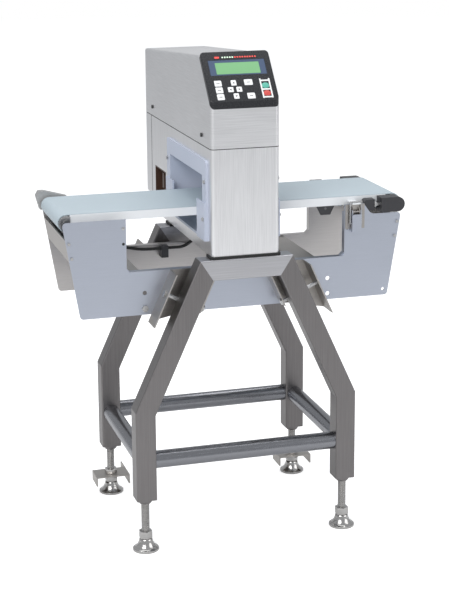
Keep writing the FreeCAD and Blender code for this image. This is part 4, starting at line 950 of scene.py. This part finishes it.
@dataclass
class ControlPanel:
    """The sloped control panel: lamp bar, display, white strips and keys.

    Attributes:
        bezel_thickness: The bezel's thickness.
        display: The display's border and its lit glass.
        keys: The eleven keys.
    """

    bezel_thickness: float = 0.0106
    display: list[Decal] = field(default_factory=lambda: [
        Decal("display_border", 0.0, 0.0952, 0.1376, 0.0418, WINDOW_BLUE, -0.0003, 0.002),
        Decal("display_glass", 0.0, 0.0935, 0.108, 0.032, DISPLAY_GREEN, 0.0, 0.0012),
    ])
    keys: list[KeyCap] = field(default_factory=lambda: [
        KeyCap("key_menu_top", -0.0565, 0.0520, 0.0175, 0.0165),
        KeyCap("key_menu_middle", -0.0565, 0.0332, 0.0175, 0.0165),
        KeyCap("key_menu_bottom", -0.0565, 0.0144, 0.0175, 0.0165),
        KeyCap("key_up", -0.0182, 0.0525, 0.0130, 0.0150),
        KeyCap("key_left", -0.0286, 0.0340, 0.0135, 0.0140),
        KeyCap("key_right", -0.0078, 0.0340, 0.0135, 0.0140),
        KeyCap("key_down", -0.0182, 0.0155, 0.0130, 0.0150),
        KeyCap("key_select", 0.0180, 0.0527, 0.0205, 0.0160),
        KeyCap("key_enter", 0.0180, 0.0149, 0.0190, 0.0160),
        KeyCap("key_start", 0.0583, 0.0420, 0.0180, 0.0150, KEY_GREEN, "key_green", 0.0072),
        KeyCap("key_stop", 0.0583, 0.0205, 0.0180, 0.0150, KEY_RED, "key_red", 0.0072),
    ])

    def build(self, frame: dict) -> None:
        """Builds everything on the panel's face.
        """
        slope = Slope.of_frame(frame, self.bezel_thickness)
        for piece in [*LampBar().decals(), *self.display, *KeyStrips().decals(), *self.keys]:
            piece.build(slope)


@dataclass
class HeadSeams:
    """Black strips in the joints between the head's sheets, as painted shade for the shadow in their gaps.

    Attributes:
        gap: Width of a joint.
        proud: How far the black strip of painted shade stands out of the sheet.
        head_corner: Radius of the head's upright corners.
    """

    gap: float = 0.0018
    proud: float = 0.0003
    head_corner: float = 0.010

    def build(self) -> None:
        """Builds the black strip of painted shade under the upper cover and the one before the rear cover."""
        low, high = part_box("upper_cover")
        # A black plate under the upper cover shows as a line of painted shade round its seam.
        seam_shade = plate_mesh(high.x - low.x + 2 * self.proud, high.y - low.y + self.proud, self.gap,
                          self.head_corner + self.proud)
        middle = ((low.x + high.x) / 2, (low.y - self.proud + high.y) / 2, low.z - self.gap / 2)
        seat("cover_seam_shade", placed(seam_shade, Matrix.Translation(middle)), GASKET_AND_SEAM_SHADE_BLACK)
        # A black strip before the rear cover shows as a line of painted shade in its seam.
        low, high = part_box("rear_cover")
        strip = block_mesh((low.x - self.proud, low.y - self.gap / 2, low.z),
                           (high.x + self.proud, low.y + self.gap / 2, high.z))
        seat("rear_cover_seam_shade", strip, GASKET_AND_SEAM_SHADE_BLACK)


@dataclass
class PlateEyes:
    """The bolt head and the hole beside each end of a side plate's notch; the hole is a black disc of painted
    shade.

    Attributes:
        from_middle: Their distance from the belt's middle.
        stud_drop: The bolt head's depth below the plate's top.
        stud: Radius and height along the bolt head's side, from the plate out.
        eye_drop: The hole's depth below the plate's top.
        eye_radius: The hole's radius.
        eye_thickness: Thickness of the black disc of painted shade that shows as the hole.
        steps: Steps of a full turn.
    """

    from_middle: float = 0.283
    stud_drop: float = 0.022
    stud: Sequence[tuple[float, float]] = ((0.0045, 0.0), (0.0040, 0.0016), (0.0, 0.0024))
    eye_drop: float = 0.060
    eye_radius: float = 0.0035
    eye_thickness: float = 0.0003
    steps: int = 24

    def build(self) -> None:
        """Builds the four bolt heads, and four black discs of painted shade where the holes are."""
        disc = ((self.eye_radius, 0.0), (self.eye_radius, self.eye_thickness), (0.0, self.eye_thickness))
        for side in Side:
            plate = f"side_plate_{side.name.lower()}"
            low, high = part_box(plate)
            face = low.y if side is Side.FRONT else high.y
            outward = Matrix.Rotation(math.radians(-90 * side.value), 4, "X")
            for end in End:
                name = f"{plate}_{end.name.lower()}"
                x = node_middle("belt").x + end.value * self.from_middle
                stud = lathe_mesh([(0.0, 0.0), *self.stud], self.steps)
                place = Matrix.Translation((x, face, high.z - self.stud_drop)) @ outward
                seat(f"{name}_stud", placed(stud, place), BOLT_STEEL)
                # A black disc on the plate's face paints the shade of a hole.
                hole_shade = lathe_mesh([(0.0, 0.0), *disc], self.steps)
                place = Matrix.Translation((x, face, high.z - self.eye_drop)) @ outward
                seat(f"{name}_eye", placed(hole_shade, place), BLACKENED_AND_HOLE_SHADE)


@dataclass
class Machine:
    """The whole machine: CAD nodes in their finishes, and the detailed pieces over them.

    Attributes:
    """

    frame: dict

    def dress_frame(self) -> None:
        """Gives every CAD node its finish."""
        for name, node in self.frame["nodes"].items():
            node.data.materials.clear()
            node.data.materials.append(NODE_FINISHES[name].material())
            log.info("%s: %s", name, NODE_FINISHES[name].name)

    def build(self) -> None:
        """Dresses the CAD nodes and builds the detailed pieces."""
        self.dress_frame()
        for node, has_lock_nut in (("foot_front_left", False), ("foot_front_right", False),
                                   ("foot_rear_left", True), ("foot_rear_right", True)):
            LevellingFoot(node, has_lock_nut).build()
        ControlPanel().build(self.frame)
        HeadSeams().build()
        PlateEyes().build()


# ---- studio


@dataclass
class SoftLamp:
    """A square soft lamp.

    Attributes:
        name: The lamp's name.
        place: Where it hangs.
        size: Length of its side.
        watts: Its power.
    """

    name: str
    place: tuple[float, float, float]
    size: float
    watts: float

    def build(self, target: Sequence[float]) -> None:
        """Hangs the lamp so that it looks at a target.

        Args:
            target: The place that it looks at.
        """
        data = bpy.data.lights.new(self.name, "AREA")
        data.shape = "SQUARE"
        data.size = self.size
        data.energy = self.watts
        lamp = bpy.data.objects.new(self.name, data)
        lamp.location = self.place
        heading = Vector(target) - Vector(self.place)
        lamp.rotation_euler = heading.to_track_quat("-Z", "Y").to_euler()
        bpy.context.scene.collection.objects.link(lamp)


@dataclass
class Studio:
    """Pale floor, even world, soft lamps and the camera.

    Attributes:
        floor_colour: The floor's colour, linear.
        floor_lift: Light that the camera alone sees added to the floor, which makes it white.
        floor_radius: Radius of the floor disc.
        floor_sides: Sides of the floor disc.
        sky_colour: Colour of the world's light.
        sky_strength: Strength of the world's light.
        lamps: The lamps.
        lamp_target: The place that they look at.
        camera_place: Where the camera stands.
        camera_turn: Degrees that it looks to the right of straight ahead.
        camera_pitch: Degrees that it looks down.
        camera_roll: Degrees that it rolls.
        focal_length: Focal length in millimetres.
        sensor_width: Width of its sensor in millimetres.
        vertical_shift: Shift of the view in sensor widths, below zero for down.
    """

    floor_colour: Colour = (0.86, 0.86, 0.86)
    floor_lift: float = 0.55
    floor_radius: float = 14.0
    floor_sides: int = 96
    sky_colour: Colour = (0.95, 0.97, 1.0)
    sky_strength: float = 0.55
    lamps: list[SoftLamp] = field(default_factory=lambda: [
        SoftLamp("key_lamp", (-2.6, -3.2, 3.4), 2.4, 120.0),
        SoftLamp("fill_lamp", (3.4, -2.6, 2.2), 2.8, 45.0),
        SoftLamp("top_lamp", (0.0, 0.6, 4.2), 3.0, 70.0),
    ])
    lamp_target: tuple[float, float, float] = (0.0, 0.0, 0.6)
    camera_place: tuple[float, float, float] = (-1.0839, -3.8712, 1.6283)
    camera_turn: float = 16.23
    camera_pitch: float = 12.92
    camera_roll: float = -0.40
    focal_length: float = 98.0
    sensor_width: float = 36.0
    vertical_shift: float = -0.1

    def floor_material(self) -> bpy.types.Material:
        """Makes the pale floor, which the camera sees as white and which keeps its shadow.

        Returns:
            The floor's material.
        """
        made = bpy.data.materials.new("studio floor")
        made.use_nodes = True
        nodes, links = made.node_tree.nodes, made.node_tree.links
        nodes.clear()
        output = nodes.new("ShaderNodeOutputMaterial")
        paint, lift = nodes.new("ShaderNodeBsdfDiffuse"), nodes.new("ShaderNodeEmission")
        path, both = nodes.new("ShaderNodeLightPath"), nodes.new("ShaderNodeAddShader")
        paint.inputs["Color"].default_value = shade(self.floor_colour, 1.0)
        lift.inputs["Color"].default_value = (self.floor_lift, self.floor_lift, self.floor_lift, 1.0)
        links.new(path.outputs["Is Camera Ray"], lift.inputs["Strength"])
        links.new(paint.outputs["BSDF"], both.inputs[0])
        links.new(lift.outputs["Emission"], both.inputs[1])
        links.new(both.outputs["Shader"], output.inputs["Surface"])
        return made

    def floor(self) -> None:
        """Lays the floor disc."""
        mesh = bmesh.new()
        bmesh.ops.create_circle(mesh, cap_ends=True, segments=self.floor_sides, radius=self.floor_radius)
        data = bpy.data.meshes.new("studio_floor")
        mesh.to_mesh(data)
        mesh.free()
        data.materials.append(self.floor_material())
        floor = bpy.data.objects.new("studio_floor", data)
        bpy.context.scene.collection.objects.link(floor)

    def world(self) -> None:
        """Lights the world evenly, and shows it white to the camera."""
        world = bpy.data.worlds.new("studio world")
        bpy.context.scene.world = world
        world.use_nodes = True
        nodes, links = world.node_tree.nodes, world.node_tree.links
        nodes.clear()
        output = nodes.new("ShaderNodeOutputWorld")
        soft, seen = nodes.new("ShaderNodeBackground"), nodes.new("ShaderNodeBackground")
        soft.inputs["Color"].default_value = shade(self.sky_colour, 1.0)
        soft.inputs["Strength"].default_value = self.sky_strength
        seen.inputs["Color"].default_value = (1.0, 1.0, 1.0, 1.0)
        seen.inputs["Strength"].default_value = 1.0
        path, mix = nodes.new("ShaderNodeLightPath"), nodes.new("ShaderNodeMixShader")
        links.new(path.outputs["Is Camera Ray"], mix.inputs["Fac"])
        links.new(soft.outputs["Background"], mix.inputs[1])
        links.new(seen.outputs["Background"], mix.inputs[2])
        links.new(mix.outputs["Shader"], output.inputs["Surface"])

    def camera(self) -> None:
        """Places the camera."""
        data = bpy.data.cameras.new("camera")
        data.lens = self.focal_length
        data.sensor_width = self.sensor_width
        data.shift_y = self.vertical_shift
        camera = bpy.data.objects.new("camera", data)
        turn = (Matrix.Rotation(math.radians(-self.camera_turn), 3, "Z")
                @ Matrix.Rotation(math.radians(90 - self.camera_pitch), 3, "X")
                @ Matrix.Rotation(math.radians(self.camera_roll), 3, "Z"))
        camera.rotation_euler = turn.to_euler()
        camera.location = self.camera_place
        bpy.context.scene.collection.objects.link(camera)
        bpy.context.scene.camera = camera

    def build(self) -> None:
        """Builds the studio."""
        bpy.context.scene.view_settings.view_transform = "Standard"
        self.floor()
        self.world()
        for lamp in self.lamps:
            lamp.build(self.lamp_target)
        self.camera()


def main() -> None:
    """Builds the machine and its studio."""
    logging.basicConfig(level=logging.INFO, format="%(name)s: %(message)s")
    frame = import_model()
    Machine(frame).build()
    Studio().build()


if __name__ == "__main__":
    main()
